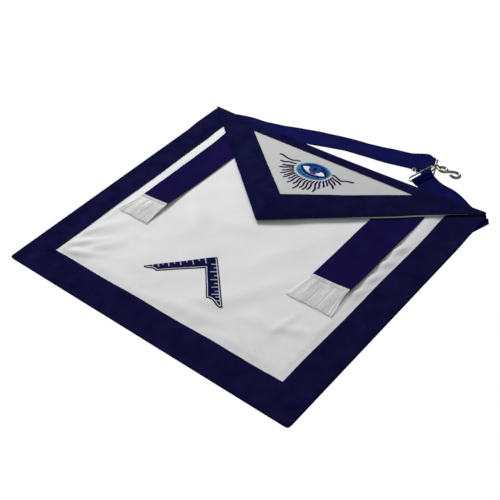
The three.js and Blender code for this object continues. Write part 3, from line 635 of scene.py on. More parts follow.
def panel_cloth():
    """The white panel, whose edges end inside the folded border."""
    half_width = HALF_WIDTH - PANEL_TUCK
    xs = marks(2 * half_width, 2.5) - half_width
    rows = np.linspace(0, 1, 138)
    x = np.broadcast_to(xs, (len(rows), len(xs))).copy()
    y = lerp(waist_y(x) - PANEL_TUCK, FOOT_Y + PANEL_TUCK, rows[:, None])
    top = panel_top(x, y)
    bottom = under_waist(x, y) + 0.05 * (1 + undulation(x, y, 0.5)) * panel_open(x, y)
    mid = surface(x, y, (top + bottom) / 2)
    half = (top - bottom) / 2
    return make_sheet("panel_cloth", mid, half, mid[..., :2] * MM, WHITE)


def blunted(x, y):
    """Places moved in from the apron's four sharp corners, which leaves each one blunt."""
    for name in ("top_left", "top_right", "foot_left", "foot_right"):
        corner = CORNERS[name]
        away = unit(np.sign(corner))
        past = np.maximum((x - corner[0]) * away[0] + (y - corner[1]) * away[1] + CORNER_BLUNT, 0)
        x = x - away[0] * past
        y = y - away[1] * past
    return x, y


def band_grid(outer, inner, width, distance, step, rim, trim):
    """Places in a straight mitred band, in rows along it and columns at distances from its outer edge.
    A trim above zero draws in both mitred ends, and one below zero lengthens them."""
    length = np.linalg.norm(outer[1] - outer[0])
    along = lerp(trim / length, 1 - trim / length, marks(length, step, rim) / length)
    r = np.broadcast_to(along[:, None], (len(along), len(distance)))
    d = np.broadcast_to(distance, r.shape)
    a = outer[0] + (outer[1] - outer[0]) * r[..., None]
    b = inner[0] + (inner[1] - inner[0]) * r[..., None]
    p = a + (b - a) * (d / width)[..., None]
    return length, r, d, p[..., 0], p[..., 1]


def fold_section(width, edge, step):
    """Columns of a band that folds over its outer edge: each one's distance in from the edge, and its
    share of the way from the top layer to the lip below."""
    flat = width - marks(width - FOLD_RADIUS - edge, step, TRIM_RIM)
    turn = np.linspace(0, math.pi, 9)[1:]
    bend_in = FOLD_RADIUS + edge - FOLD_RADIUS * np.sin(turn)
    bend_down = (1 - np.cos(turn)) / 2
    lip = np.linspace(FOLD_RADIUS + edge, FOLD_LIP, 3)[1:]
    distance = np.concatenate([flat, bend_in, lip])
    share = np.concatenate([np.zeros(len(flat)), bend_down, np.ones(len(lip))])
    return distance, share


def border_ribbon(name, outer, inner, waist_end):
    """A border ribbon, which folds over the panel's edge to a narrow lip behind it."""
    distance, share = fold_section(BORDER_WIDTH, edge=0.45, step=3.2)
    length, r, d, x, y = band_grid(outer, inner, BORDER_WIDTH, distance, step=3.5, rim=1.5, trim=-0.15)
    if waist_end:
        y = y + waist_sag(x) * (1 - r)
    wave = 0.16 * undulation(x * 1.7, y * 1.7, 0.55) * smoothstep(d, 2, 8)
    upper = trim_under(x, y) + TRIM_THICK / 2 + 0.16 + wave
    lower = under_waist(x, y) + 0.32
    z = lerp(upper, lower, share)
    rim = rounded(BORDER_WIDTH - d, TRIM_RIM) * rounded(np.minimum(r, 1 - r) * length, 1.5)
    half = lerp(TRIM_THICK / 2, 0.3, share) * rim
    inner_wave = 0.35 * np.sin(r * length / 21) * smoothstep(d, BORDER_WIDTH - 8, BORDER_WIDTH)
    run = (outer[1] - outer[0]) / length
    normal_in = np.array([-run[1], run[0]])
    if normal_in @ (inner[0] - outer[0]) < 0:
        normal_in = -normal_in
    x, y = blunted(x + normal_in[0] * inner_wave, y + normal_in[1] * inner_wave)
    uv = np.stack([r * length, d + 4 * share], -1) * MM
    return make_sheet(name, surface(x, y, z), half, uv, NAVY)


def corner_table():
    inner_x = HALF_WIDTH - BORDER_WIDTH
    inner_foot = FOOT_Y + BORDER_WIDTH
    return {
        "top_left": (-HALF_WIDTH, waist_line(-HALF_WIDTH)),
        "top_right": (HALF_WIDTH, waist_line(HALF_WIDTH)),
        "foot_left": (-HALF_WIDTH, FOOT_Y),
        "foot_right": (HALF_WIDTH, FOOT_Y),
        "inner_top_left": (-inner_x, waist_line(-inner_x)),
        "inner_top_right": (inner_x, waist_line(inner_x)),
        "inner_foot_left": (-inner_x, inner_foot),
        "inner_foot_right": (inner_x, inner_foot),
    }


CORNERS = {name: np.array(place, float) for name, place in corner_table().items()}
FLAP_TIP = np.array([SEWN_OFFSET, FLAP_TIP_Y])


def inset_corner(before, corner, after, inset_before, inset_after):
    """A corner of an inner outline, once each edge has moved inwards by its own distance."""
    u = unit(corner - before)
    v = unit(after - corner)
    turn = u[0] * v[1] - u[1] * v[0]
    return corner + v * inset_before / turn - u * inset_after / turn


TOP_LEFT, TOP_RIGHT = CORNERS["top_left"], CORNERS["top_right"]
FLAP_INNER = {
    "tip": inset_corner(TOP_LEFT, FLAP_TIP, TOP_RIGHT, FLAP_BAND_WIDTH, FLAP_BAND_WIDTH),
    "top_right": inset_corner(FLAP_TIP, TOP_RIGHT, TOP_LEFT, FLAP_BAND_WIDTH, WAIST_BAND_WIDTH),
    "top_left": inset_corner(TOP_RIGHT, TOP_LEFT, FLAP_TIP, WAIST_BAND_WIDTH, FLAP_BAND_WIDTH),
}


def flap_cloth():
    """The flap's white cloth, coloured darker than the panel's as painted shade. Its edge shows under the
    right band for a short stretch.
    """
    rows = np.linspace(0.012, 0.985, 92)
    cols = np.linspace(0, 1, 120)
    r = np.broadcast_to(rows[:, None], (len(rows), len(cols)))
    c = np.broadcast_to(cols, r.shape)
    left = TOP_LEFT + (FLAP_TIP - TOP_LEFT) * r[..., None]
    right = TOP_RIGHT + (FLAP_TIP - TOP_RIGHT) * r[..., None]
    show = smoothstep(r, 0.14, 0.22) * (1 - smoothstep(r, 0.5, 0.6))
    left[..., 0] += FLAP_EDGE_TUCK
    right[..., 0] += lerp(-FLAP_EDGE_TUCK, FLAP_EDGE_SHOW, show)
    p = left + (right - left) * c[..., None]
    x = p[..., 0]
    x, y = blunted(x, p[..., 1] + waist_sag(x) * (1 - r) ** 3)
    z = flap_top(x, y) - FLAP_THICK / 2
    width = np.linalg.norm(right - left, axis=-1)
    rim = rounded(np.minimum(c, 1 - c) * width, 0.8)
    mid = surface(x, y, z)
    return make_sheet("flap_cloth", mid, FLAP_THICK / 2 * rim, mid[..., :2] * MM, FLAP_WHITE_PAINTED_SHADE)


def flap_ribbon(name, outer, inner):
    """A ribbon along one lower edge of the flap, with a stitched groove inside each edge."""
    width = FLAP_BAND_WIDTH
    distance = marks(width, 1.5, TRIM_RIM)
    length, r, d, x, y = band_grid(outer, inner, width, distance, step=2.6, rim=TRIM_RIM, trim=0.15)
    x, y = blunted(x, y)
    wave = 0.22 * undulation(x + 90, y, 0.5)
    stitched = sum(np.exp(-(((d - seam) / 0.7) ** 2)) for seam in (3.0, width - 2.2))
    z = flap_trim_mid(x, y) + (wave + 0.25) * smoothstep(d, 0, 4) - 0.28 * stitched
    from_end = np.minimum(r, 1 - r) * length
    rim = rounded(np.minimum(d, width - d), TRIM_RIM) * rounded(from_end, TRIM_RIM)
    uv = np.stack([r * length, d], -1) * MM
    return make_sheet(name, surface(x, y, z), TRIM_THICK / 2 * rim, uv, NAVY)


def waist_ribbon():
    """The ribbon along the waist, which folds over the waist edge to a lip behind it."""
    left, right = TOP_LEFT, TOP_RIGHT
    inner_left, inner_right = FLAP_INNER["top_left"], FLAP_INNER["top_right"]
    reach_x = HALF_WIDTH - 0.6
    xs = marks(2 * reach_x, 2.6, TRIM_RIM) - reach_x
    distance, share = fold_section(WAIST_BAND_WIDTH, edge=-0.9, step=1.6)
    x = np.broadcast_to(xs[:, None], (len(xs), len(distance))).copy()
    mitre_left = (left[1] - inner_left[1]) / (inner_left[0] - left[0])
    mitre_right = (right[1] - inner_right[1]) / (right[0] - inner_right[0])
    reach = np.minimum((x - left[0]) * mitre_left - 0.2, (right[0] - x) * mitre_right - 0.2)
    inner_y = np.interp(xs, [inner_left[0], inner_right[0]], [inner_left[1], inner_right[1]])[:, None]
    middle = waist_y(x) - inner_y
    slope_gap = waist_line(x) - lerp(left[1], right[1], (x + HALF_WIDTH) / (2 * HALF_WIDTH))
    local = np.maximum(np.minimum(reach + slope_gap, middle), 0.4)
    d = np.broadcast_to(distance, x.shape)
    bend = 0.25
    squeeze = np.maximum(local - bend, 0.05) / (WAIST_BAND_WIDTH - bend)
    d_local = np.where(d > bend, bend + (d - bend) * squeeze, d)
    d_used = np.where(share > 0, d, d_local)
    x, y = blunted(x, waist_y(x) - d_used)
    upper = flap_trim_mid(x, np.minimum(y, waist_y(x))) + 0.15
    lower = under_waist(x, y) + 0.4
    z = lerp(upper, lower, share)
    rim = rounded(WAIST_BAND_WIDTH - d, TRIM_RIM) * rounded(reach_x - np.abs(x), TRIM_RIM)
    half = lerp(TRIM_THICK / 2, 0.3, share) * rim
    uv = np.stack([x, d + 6 * share], -1) * MM
    return make_sheet("waist_ribbon", surface(x, y, z), half, uv, NAVY)


# How each hanging ribbon lies: curl and lift of its edges, extra length, draw at the foot, fringe flare
RIBBONS = table(
    "name side inner_curl outer_curl edge_lift longer left_in right_in flare_left flare_right",
    ("left", -1, 0.34, 0.05, 0.8, 4.5, 2.0, 2.7, 7.0, 1.0),
    ("right", 1, 0.05, 0.16, 1.3, 3.0, -2.0, -0.5, 4.5, 4.5),
)


def ribbon_x(spec, share, y=None):
    """Across a hanging ribbon, which is drawn in a little at its edges, the right one only near the foot."""
    taper = 1.0 if y is None else 1 - smoothstep(y, RIBBON_FOOT_Y, RIBBON_FOOT_Y + 3 * RIBBON_WIDTH)
    drawn = spec["left_in"] * (1 - share) - spec["right_in"] * share * taper
    return SEWN_OFFSET + spec["side"] * RIBBON_SPACING / 2 + (share - 0.5) * RIBBON_WIDTH + drawn


def foot_y(spec):
    return RIBBON_FOOT_Y - spec["longer"]


def ribbon_curl(spec, x, y):
    """How far a hanging ribbon and its fringe stand off the panel."""
    centre = ribbon_x(spec, 0.5)
    inward = np.clip(0.5 - spec["side"] * (x - centre) / RIBBON_WIDTH, 0, 1)
    down = smoothstep(y, foot_y(spec), foot_y(spec) + RIBBON_WIDTH)
    free = smoothstep(y, FRINGE_FOOT_Y, foot_y(spec) - FRINGE_HEAD)
    curl = lerp(spec["outer_curl"], spec["inner_curl"], inward**1.5)
    toward_camera = np.clip(0.5 + (x - centre) / RIBBON_WIDTH, 0, 1)
    edge = spec["edge_lift"] * toward_camera**3 * free * smoothstep(waist_y(x) - y, 40, 100)
    return CORNER_LIFT * curl * (1 - down) * free + edge


def ribbon_length(spec):
    return waist_y(ribbon_x(spec, 0.5)) - RIBBON_START - foot_y(spec)


def hanging_ribbon(spec):
    width_marks = marks(RIBBON_WIDTH, 1.8, 1.0)
    length = ribbon_length(spec)
    down = marks(length, 2.4, 1.0)
    c = np.broadcast_to(width_marks, (len(down), len(width_marks))) / RIBBON_WIDTH
    t = np.broadcast_to(down[:, None], c.shape) / length
    y = lerp(waist_y(ribbon_x(spec, c)) - RIBBON_START, foot_y(spec), t)
    x = ribbon_x(spec, c, y)
    drift = 0.5 * np.sin(y / 31 + spec["side"]) * smoothstep(-y, -120, 0)
    waves = 0.3 * (1 + undulation(x * 2, y, 0.5)) * smoothstep(waist_y(x) - y, 60, 110)
    z = panel_top(x, y) + LAYER_GAP + TRIM_THICK / 2 + ribbon_curl(spec, x, y) + waves
    from_edge = np.minimum(c, 1 - c) * RIBBON_WIDTH
    rim = rounded(from_edge, 1.0) * rounded(np.minimum(t, 1 - t) * length, 1.0)
    selvedge = 1 + 0.35 * np.exp(-((from_edge - 1.4) / 0.8) ** 2)
    half = 0.42 * rim * selvedge
    uv = np.stack([t * length, c * RIBBON_WIDTH], -1) * MM
    name = f"hanging_ribbon_{spec['name']}"
    return make_sheet(name, surface(x + drift, y, z), half, uv, RIBBON_NAVY)


# Fringes
def fringe_threads(spec):
    """Two layers of threads that hang in pairs, each pair turned back on itself in a small open loop."""
    tubes = []
    foot = foot_y(spec)
    longest = foot - FRINGE_FOOT_Y
    arc = np.radians(np.linspace(0, 180, 9))[1:-1]
    for layer in (1, 0):
        for k in range(FRINGE_LOOPS - layer):
            share = (k + 0.5 + 0.5 * layer + rng.uniform(-0.2, 0.2)) / FRINGE_LOOPS
            reach = longest - rng.uniform(0.4, 2.6) - 0.8 * (1 - layer)
            down = np.linspace(0.3, reach, 16)
            pair = rng.uniform(0.2, 0.28)
            opened = pair * (1 + 1.9 * smoothstep(down, reach - 3.2, reach - 0.9))
            end = opened[-1]
            aside = np.concatenate([-opened, -end * np.cos(arc), opened[::-1]])
            down = np.concatenate([down, reach + end * np.sin(arc), down[::-1]])
            fan = smoothstep(down, 1, longest)
            sway = rng.uniform(-0.75, 0.75) * fan ** 1.5
            bend = rng.uniform(-0.3, 0.3) * np.sin(down / longest * math.pi * rng.uniform(1, 2.2))
            spread = lerp(-spec["flare_left"], spec["flare_right"], share)
            x = ribbon_x(spec, share) + aside + fan * spread + sway + bend
            y = foot - down
            drop = ribbon_curl(spec, ribbon_x(spec, share) + 0 * x, y)
            arch = rng.uniform(0, 0.4) * np.sin(down / longest * math.pi)
            z = panel_top(x, y) + 0.4 + 0.75 * layer + drop + arch
            tubes.append((np.stack([x, y, z], -1), rng.uniform(0.27, 0.34)))
    return make_tubes(f"fringe_threads_{spec['name']}", tubes, FRINGE_THREAD, sides=5)


def fringe_head(spec):
    """Rows of looped cord that hold the fringe's threads: arches over the ribbon's foot, then flat rows."""
    tubes = []
    foot = foot_y(spec)
    share = np.linspace(0.0, 1.0, 300)
    rows = table(
        "level arch swing loops radius up",
        (0.4, 1.7, 0.0, 17, 0.5, 1.9),
        (0.0, 0.0, 0.4, 30, 0.42, 1.8),
        (-1.2, 0.0, 0.4, 24, 0.3, 1.6),
    )
    for row in rows:
        phase = share * row["loops"] * math.pi
        x = ribbon_x(spec, share) + 0.2 * np.sin(phase * 2)
        y = foot + row["level"] + row["arch"] * np.abs(np.sin(phase)) + row["swing"] * np.sin(phase * 2)
        z = panel_top(x, y) + row["up"] + ribbon_curl(spec, x, np.minimum(y, foot)) + 0.15 * np.sin(phase * 2)
        tubes.append((np.stack([x, y, z], -1), row["radius"]))
    return make_tubes(f"fringe_head_{spec['name']}", tubes, WHITE_THREAD, sides=6)


# Straps and clasp
HOOK_LOOP, EYE_LOOP = table(
    "along beyond z heading roll inner_z",
    (CLASP_ALONG, CLASP_BEYOND, RING_HEIGHT / 2, -67.6, 0.0, LOOP_WIRE / 2 + SLEEVE_GAP + STRAP_THICK),
    (CLASP_ALONG - 8.7, CLASP_BEYOND - 19.0, 5.8, 65.0, 9.0, None),
)


def loop_axes(spec):
    """Origin and axes of a loop: X along its bars, Y from its inner bar to its outer bar."""
    heading, roll = math.radians(spec["heading"]), math.radians(spec["roll"])
    bar = np.array([math.cos(heading) * math.cos(roll), math.sin(heading) * math.cos(roll), math.sin(roll)])
    out = unit(np.array([-bar[1], bar[0], 0.0]))
    if spec["inner_z"] is not None:
        rise = math.asin((spec["z"] - spec["inner_z"]) / LOOP_REACH)
        out = out * math.cos(rise) + np.array([0, 0, math.sin(rise)])
    origin = np.array([spec["along"], waist_y(0.0) + spec["beyond"], spec["z"]])
    return origin, bar, out, np.cross(bar, out)


def in_loop(spec, points):
    origin, bar, out, up = loop_axes(spec)
    points = np.asarray(points, float)
    return origin + points[:, :1] * bar + points[:, 1:2] * out + points[:, 2:3] * up


def loop_path():
    """A rectangle of wire with round corners, its outer bar on Y = 0."""
    half = (LOOP_LENGTH - LOOP_WIRE) / 2
    bend = 1.25 * LOOP_WIRE
    centres = [
        (half - bend, -LOOP_REACH + bend, -90),
        (half - bend, -bend, 0),
        (-half + bend, -bend, 90),
        (-half + bend, -LOOP_REACH + bend, 180),
    ]
    points = []
    for cx, cy, start in centres:
        for turn in np.radians(np.linspace(start, start + 90, 9)):
            points.append((cx + bend * math.cos(turn), cy + bend * math.sin(turn), 0.0))
    return np.array(points)


def centripetal(points, count):
    """Evenly spaced places on a centripetal curve through a few points."""
    points = np.asarray(points, float)
    ends = [2 * points[0] - points[1], *points, 2 * points[-1] - points[-2]]
    dense = []
    for i in range(len(points) - 1):
        p0, p1, p2, p3 = ends[i:i + 4]
        t1 = np.linalg.norm(p1 - p0) ** 0.5
        t2 = t1 + np.linalg.norm(p2 - p1) ** 0.5
        t3 = t2 + np.linalg.norm(p3 - p2) ** 0.5
        for t in np.linspace(t1, t2, 24, endpoint=False):
            a1 = p0 * (t1 - t) / t1 + p1 * t / t1
            a2 = p1 * (t2 - t) / (t2 - t1) + p2 * (t - t1) / (t2 - t1)
            a3 = p2 * (t3 - t) / (t3 - t2) + p3 * (t - t2) / (t3 - t2)
            b1 = a1 * (t2 - t) / t2 + a2 * t / t2
            b2 = a2 * (t3 - t) / (t3 - t1) + a3 * (t - t1) / (t3 - t1)
            dense.append(b1 * (t2 - t) / (t2 - t1) + b2 * (t - t1) / (t2 - t1))
    dense.append(points[-1])
    dense = np.array(dense)
    run = np.concatenate([[0], np.cumsum(np.linalg.norm(np.diff(dense, axis=0), axis=1))])
    places = np.linspace(0, run[-1], count)
    return np.stack([np.interp(places, run, dense[:, k]) for k in range(3)], -1), run[-1]


# Where each strap runs: half widths of the apron along the waist, strap widths beyond the waist's
# middle, strap thicknesses of rise, and degrees of roll
REST = 0.5
LONG_ROUTE = table(
    "along beyond rise roll",
    (-0.95, -0.23, REST, 0),
    (-0.773, 0.13, REST, 0),
    (-0.58, 0.25, REST, 0),
    (-0.273, 0.76, REST, 0),
    (-0.025, 1.08, REST + 0.2, -1),
    (0.222, 1.21, REST + 2.4, -8),
    (0.36, 1.41, REST + 1.4, -5),
    (0.453, 1.56, REST + 0.4, 0),
)
SHORT_ROUTE = table(
    "along beyond rise roll",
    (1.013, -0.63, REST, 0),
    (0.857, -0.237, REST, 0),
    (0.769, 0.083, REST, 0),
    (0.633, 0.427, REST, 0),
)


def long_width(t):
    return 1 + 0.24 * smoothstep(t, 0.9, 0.965) * (1 - smoothstep(t, 0.984, 1))


def short_width(t):
    return 1 - 0.28 * (1 - smoothstep(t, 0, 0.06)) - 0.15 * smoothstep(t, 0.6, 0.95)


def long_shift(t, column):
    """The long strap's upper edge swells towards the loop's outer bar, past its upper leg."""
    return 3.0 * smoothstep(t, 0.93, 0.985) * smoothstep(column, 0.25, 0.5)


def short_shift(t, column):
    """The short strap keeps to the lower end of its loop, and its lower edge is folded under beside it."""
    fold_under = smoothstep(t, 0.55, 0.82) * (1 - smoothstep(t, 0.9, 0.985))
    return 2.2 * smoothstep(t, 0.6, 0.95) - 1.6 * fold_under * smoothstep(column, 0.1, 0.5)


def strap(name, route, spec, width_at, shift_at, swell):
    """A strap from under the waist to its loop, folded round the loop's inner bar and hemmed."""
    origin, bar, out, up = loop_axes(spec)
    inner_bar = origin - out * LOOP_REACH
    if up[2] < 0:
        up = -up
    places = []
    for row in route:
        y = waist_y(0.0) + row["beyond"] * STRAP_WIDTH
        places.append((row["along"] * HALF_WIDTH, y, row["rise"] * STRAP_THICK))
    run = 130
    centre, length = centripetal([*places, inner_bar - up * SLEEVE_RADIUS], run + 1)
    t = np.linspace(0, 1, run + 1)
    tangent = unit(np.gradient(centre, axis=0))
    flat = unit(np.stack([-tangent[:, 1], tangent[:, 0], 0 * t], -1))
    rolls = [{"t": i / len(route), "roll": row["roll"]} for i, row in enumerate(route)]
    roll = np.radians(read_table(rolls, "t", t, "roll"))[:, None]
    across = flat * np.cos(roll) + np.cross(tangent, flat) * np.sin(roll)
    target = bar * np.sign(bar @ across[-1])
    near = (1 - smoothstep(length * (1 - t), 0, STRAP_TURN))[:, None]
    across = unit(lerp(across, target, near))
    normal = unit(np.cross(tangent, across))
    normal[normal[:, 2] < 0] *= -1
    width = width_at(t) * STRAP_WIDTH
    fold_turn = np.radians(np.linspace(-90, 90, 13)[1:])[:, None]
    arm = out * np.cos(fold_turn) + up * np.sin(fold_turn)
    hem_t = np.linspace(0, 1, 9)[1:]
    under = np.stack([np.interp(length - hem_t * STRAP_HEM, t * length, centre[:, k]) for k in range(3)], -1)
    hem_lift = lerp(2 * SLEEVE_RADIUS, STRAP_THICK + LAYER_GAP, smoothstep(hem_t, 0, 1))[:, None]
    lowest = np.concatenate([np.zeros(len(centre) + len(arm)), hem_lift[:, 0]])[:, None] + STRAP_THICK / 2
    centre = np.vstack([centre, inner_bar + arm * SLEEVE_RADIUS, under + up * hem_lift])
    normal = np.vstack([normal, -arm, np.broadcast_to(-up, under.shape)])
    across = np.vstack([across, np.broadcast_to(target, (len(arm) + len(under), 3))])
    width = np.concatenate([width, np.full(len(arm) + len(under), width[-1])])
    share = np.concatenate([t, np.ones(len(arm) + len(under))])[:, None]
    column = marks(1.0, 0.07, 0.035) - 0.5
    side = column * width[:, None] + shift_at(share, column)
    mid = centre[:, None] + across[:, None] * side[..., None]
    reach = swell * smoothstep(share, 0.9, 1.0) * smoothstep(column, 0.02, 0.24)
    mid += out * reach[..., None]
    stations = np.arange(len(centre))[:, None]
    distance = np.concatenate([[0], np.cumsum(np.linalg.norm(np.diff(centre, axis=0), axis=1))])[:, None]
    beyond = smoothstep(mid[..., 1] - waist_y(mid[..., 0]), 2, 12)
    ripple = (0.35 * np.sin(distance / 13 + column * 5) + 0.3 * np.sin(distance / 5.3 + column * 9)) * beyond
    ripple = ripple * (1 - smoothstep(distance, length - 20, length - 6))
    mid[..., 2] += np.where(stations <= run, 0.5 * (ripple + 0.6 * beyond), 0)
    mid[..., 2] = np.maximum(mid[..., 2], lowest)
    end = distance[-1] - distance
    rim = rounded((0.5 - np.abs(column)) * STRAP_WIDTH, 1.0) * rounded(np.minimum(distance, end), 1.0)
    half = STRAP_THICK / 2 * np.broadcast_to(rim, mid.shape[:2])
    uv = np.stack(np.broadcast_arrays(distance, column[None, :] * STRAP_WIDTH), -1) * MM
    obj = make_sheet(name, mid, half, uv, STRAP_NAVY, normal[:, None])
    return obj, float(distance[-1])


def circle(cx, cy, rx, ry, steps):
    turn = np.linspace(0, 2 * math.pi, steps, endpoint=False)
    return np.stack([cx + rx * np.cos(turn), cy + ry * np.sin(turn), 0 * turn], -1)


def wire(name, path, thick, sides, body="root", closed=False):
    return make_tubes(name, [(path, thick / 2)], NICKEL, sides, body, closed)


def loop_wires():
    hook_loop, eye_loop = [
        wire(f"loop_{name}_wire", in_loop(spec, loop_path()), LOOP_WIRE, 16, closed=True)
        for name, spec in (("hook", HOOK_LOOP), ("eye", EYE_LOOP))
    ]
    radius = (EYELET_DIAMETER - EYELET_WIRE) / 2
    tilt = math.radians(EYELET_TILT)

    def placed(points):
        x, y = points[:, 0], points[:, 1]
        return in_loop(EYE_LOOP, np.stack([x, y * math.cos(tilt), y * math.sin(tilt)], -1))

    eyelet = placed(circle(EYELET_ALONG, EYELET_STANDOFF, radius, radius, 28))
    ring = wire("eyelet_wire", eyelet, EYELET_WIRE, 12, closed=True)
    reach = np.linspace(0, EYELET_STANDOFF - radius, 5)
    stem_path = placed(np.stack([0 * reach + EYELET_ALONG, reach], -1))
    stem = wire("eyelet_stem", stem_path, EYELET_WIRE, 12)
    join_into(eye_loop, [ring, stem])
    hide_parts("loop_hook")
    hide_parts("loop_eye")


# The open hook's middle line and its coil, as shares of the hook's length from the hinge
HOOK_CURVE = [
    (0.43, -0.065), (0.55, 0.05), (0.67, 0.12), (0.81, 0.14), (0.925, 0.09), (0.955, 0.0), (0.9, -0.085),
    (0.79, -0.115), (0.67, -0.085),
]
COIL = {"along": 0.295, "length": 0.41, "width": 0.315}


def snake_hook():
    """The ring, coil and open hook, in the frame of the hinge."""
    hinge = np.array(frame["joints"][0]["pos_m"]) / MM
    bar_z = RING_HEIGHT / 2
    drop = math.asin((bar_z - HOOK_WIRE / 2) / (HOOK_LENGTH - HOOK_WIRE / 2))
    heading = math.radians(-5.0)
    turn = np.array(Matrix.Rotation(heading, 3, "Z") @ Matrix.Rotation(drop, 3, "Y"))

    def placed(points):
        return hinge + np.asarray(points, float) @ turn.T

    ring_centre = RING_LENGTH / 2 - RING_WIRE - RING_SLACK
    ring_reach = (RING_LENGTH - RING_WIRE) / 2
    ring = circle(ring_centre, 0, ring_reach, (RING_HEIGHT - RING_WIRE) / 2, 36)[:, [0, 2, 1]]
    coil_centre = COIL["along"] * HOOK_LENGTH
    coil_reach, coil_side = ((COIL[side] * HOOK_LENGTH - HOOK_WIRE) / 2 for side in ("length", "width"))
    coil = circle(coil_centre, 0, coil_reach, coil_side, 36)
    places = np.array([(a * HOOK_LENGTH, b * HOOK_LENGTH, 0) for a, b in HOOK_CURVE])
    shank, _ = centripetal(places, 60)
    neck_x = lerp(ring_centre + ring_reach, coil_centre - coil_reach, np.linspace(0, 1, 4))
    neck = np.stack([neck_x, 0 * neck_x, 0 * neck_x], -1)
    body = wire("snake_hook_wire", placed(shank), HOOK_WIRE, 16, "hook")
    others = [
        wire("hook_ring", placed(ring), RING_WIRE, 14, "hook", closed=True),
        wire("hook_coil", placed(coil), HOOK_WIRE, 14, "hook", closed=True),
        wire("hook_neck", placed(neck), RING_WIRE, 14, "hook"),
    ]
    join_into(body, others)
    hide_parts("snake_hook")


# Embroidery
def satin(name, outline, spacing, angle, radius, height_at, material, slot, lift=0.0):
    """Fills an outline with parallel threads, each a low bridge between two edges of the outline."""
    outline = np.asarray(outline, float)
    turn = math.radians(angle)
    axis = np.array([math.cos(turn), math.sin(turn)])
    side = np.array([-math.sin(turn), math.cos(turn)])
    level, reach = outline @ side, outline @ axis
    after_level, after_reach = np.roll(level, -1), np.roll(reach, -1)
    tubes = []
    for s in np.arange(level.min() + spacing / 2, level.max(), spacing):
        cut = (level <= s) != (after_level <= s)
        share = (s - level[cut]) / (after_level[cut] - level[cut])
        crossings = sorted(lerp(reach[cut], after_reach[cut], share))
        for a, b in zip(crossings[::2], crossings[1::2]):
            if b - a < 2 * radius:
                continue
            a += rng.uniform(-STITCH_JITTER, STITCH_JITTER)
            b += rng.uniform(-STITCH_JITTER, STITCH_JITTER)
            steps = max(int((b - a) / 1.6) + 1, 3)
            t = np.linspace(0, 1, steps)
            along = lerp(a, b, t)
            xy = along[:, None] * axis + (s + rng.uniform(-0.04, 0.04)) * side
            ends = np.clip(np.minimum(t, 1 - t) * (b - a) / 0.8, 0, 1)
            z = height_at(xy[:, 0], xy[:, 1]) + lift + radius * (0.4 + 0.7 * np.sqrt(ends))
            tubes.append((np.column_stack([xy, z]), radius))
    return make_tubes(name, tubes, material, sides=5)


def inset(outline, distance):
    """An outline that runs anticlockwise, moved inwards by a distance."""
    outline = np.asarray(outline, float)
    edge = unit(np.roll(outline, -1, 0) - outline)
    normal = np.stack([-edge[:, 1], edge[:, 0]], -1)
    before = np.roll(normal, 1, 0)
    mitre = (normal + before) / np.maximum(1 + (normal * before).sum(1, keepdims=True), 0.12)
    return outline + mitre * distance


def resampled(path, step):
    """The same path with places about one step apart."""
    path = np.asarray(path, float)
    run = np.concatenate([[0], np.cumsum(np.linalg.norm(np.diff(path, axis=0), axis=1))])
    places = np.linspace(0, run[-1], max(int(run[-1] / step), 2) + 1)
    return np.stack([np.interp(places, run, path[:, k]) for k in range(2)], -1)


def cord_stitch(path, width, height_at, lift, pitch=0.5, slant=0.5):
    """A line of satin stitch: short threads laid slantwise across a path."""
    centre = resampled(path, pitch)
    tangent = unit(np.gradient(centre, axis=0))
    side = np.stack([-tangent[:, 1], tangent[:, 0]], -1)
    across = np.linspace(-0.5, 0.5, 5)
    tubes = []
    for c, d, n in zip(centre, tangent, side):
        swell = rng.uniform(0.9, 1.1)
        xy = c + n * (across * width * swell)[:, None] + d * (across * slant)[:, None]
        z = height_at(xy[:, 0], xy[:, 1]) + lift + 0.1 + 0.3 * min(width, 1.6) * np.cos(across * math.pi)
        tubes.append((np.column_stack([xy, z]), CORD_THREAD))
    return tubes


def smooth_path(points, count):
    """A smooth curve through a few flat points."""
    flat = np.array([(x, y, 0.0) for x, y in points])
    return centripetal(flat, count)[0][:, :2]


# The eye, measured from the middle of its oval. Each outline or line is a short list of x and y.
EYE_ALMOND = [
    (-17.4, 0.6), (-12.0, -4.4), (-5.0, -7.6), (2.5, -8.6), (9.5, -8.0), (15.5, -5.6),
    (20.0, -2.2), (16.5, 3.4), (10.5, 7.6), (2.0, 9.8), (-6.0, 9.4), (-13.0, 6.2),
]
EYE_UPPER_RING = [
    (-18.4, 2.0), (-13.0, 9.4), (-5.0, 12.6), (4.0, 13.0), (12.0, 10.6), (18.0, 5.6),
    (20.6, -0.6), (10.0, 4.0), (-8.0, 4.0),
]
EYE_IRIS_FIELD = [
    (-13.4, 5.0), (-8.5, 3.0), (-2.5, -4.0), (4.0, -5.0), (10.6, 0.8), (15.4, 2.0),
    (9.8, 6.6), (2.0, 8.6), (-5.6, 8.4),
]
EYE_WHITE_LEFT = [
    (-15.4, 0.4), (-11.0, -3.0), (-4.6, -5.4), (-0.4, -5.2), (-3.8, -2.4), (-6.6, 0.4),
    (-7.9, 3.6), (-11.4, 2.8),
]
EYE_WHITE_RIGHT = [(5.4, -4.4), (11.6, -5.8), (18.3, -2.7), (14.6, 0.6), (10.2, 2.0), (8.8, -1.6)]
EYE_RIM = [(-6.4, -5.6), (-1.0, -6.6), (4.6, -6.9), (10.0, -6.6)]
EYE_LID = [
    (-17.4, 0.4), (-14.0, 5.0), (-8.4, 8.6), (0.5, 10.2), (9.2, 8.4), (14.8, 4.0), (19.0, -1.8),
]
EYE_UNDERLINE = [
    (-17.6, 0.0), (-12.4, -5.0), (-5.0, -8.2), (3.0, -9.0), (10.0, -8.2), (15.8, -5.6), (19.8, -2.4),
]
EYE_DASHES = table(
    "x y heading",
    (-14.8, -7.2, -38),
    (-10.4, -10.4, -26),
    (-4.4, -12.1, -10),
    (1.8, -12.5, 2),
    (7.8, -11.6, 14),
    (13.2, -9.2, 32),
)
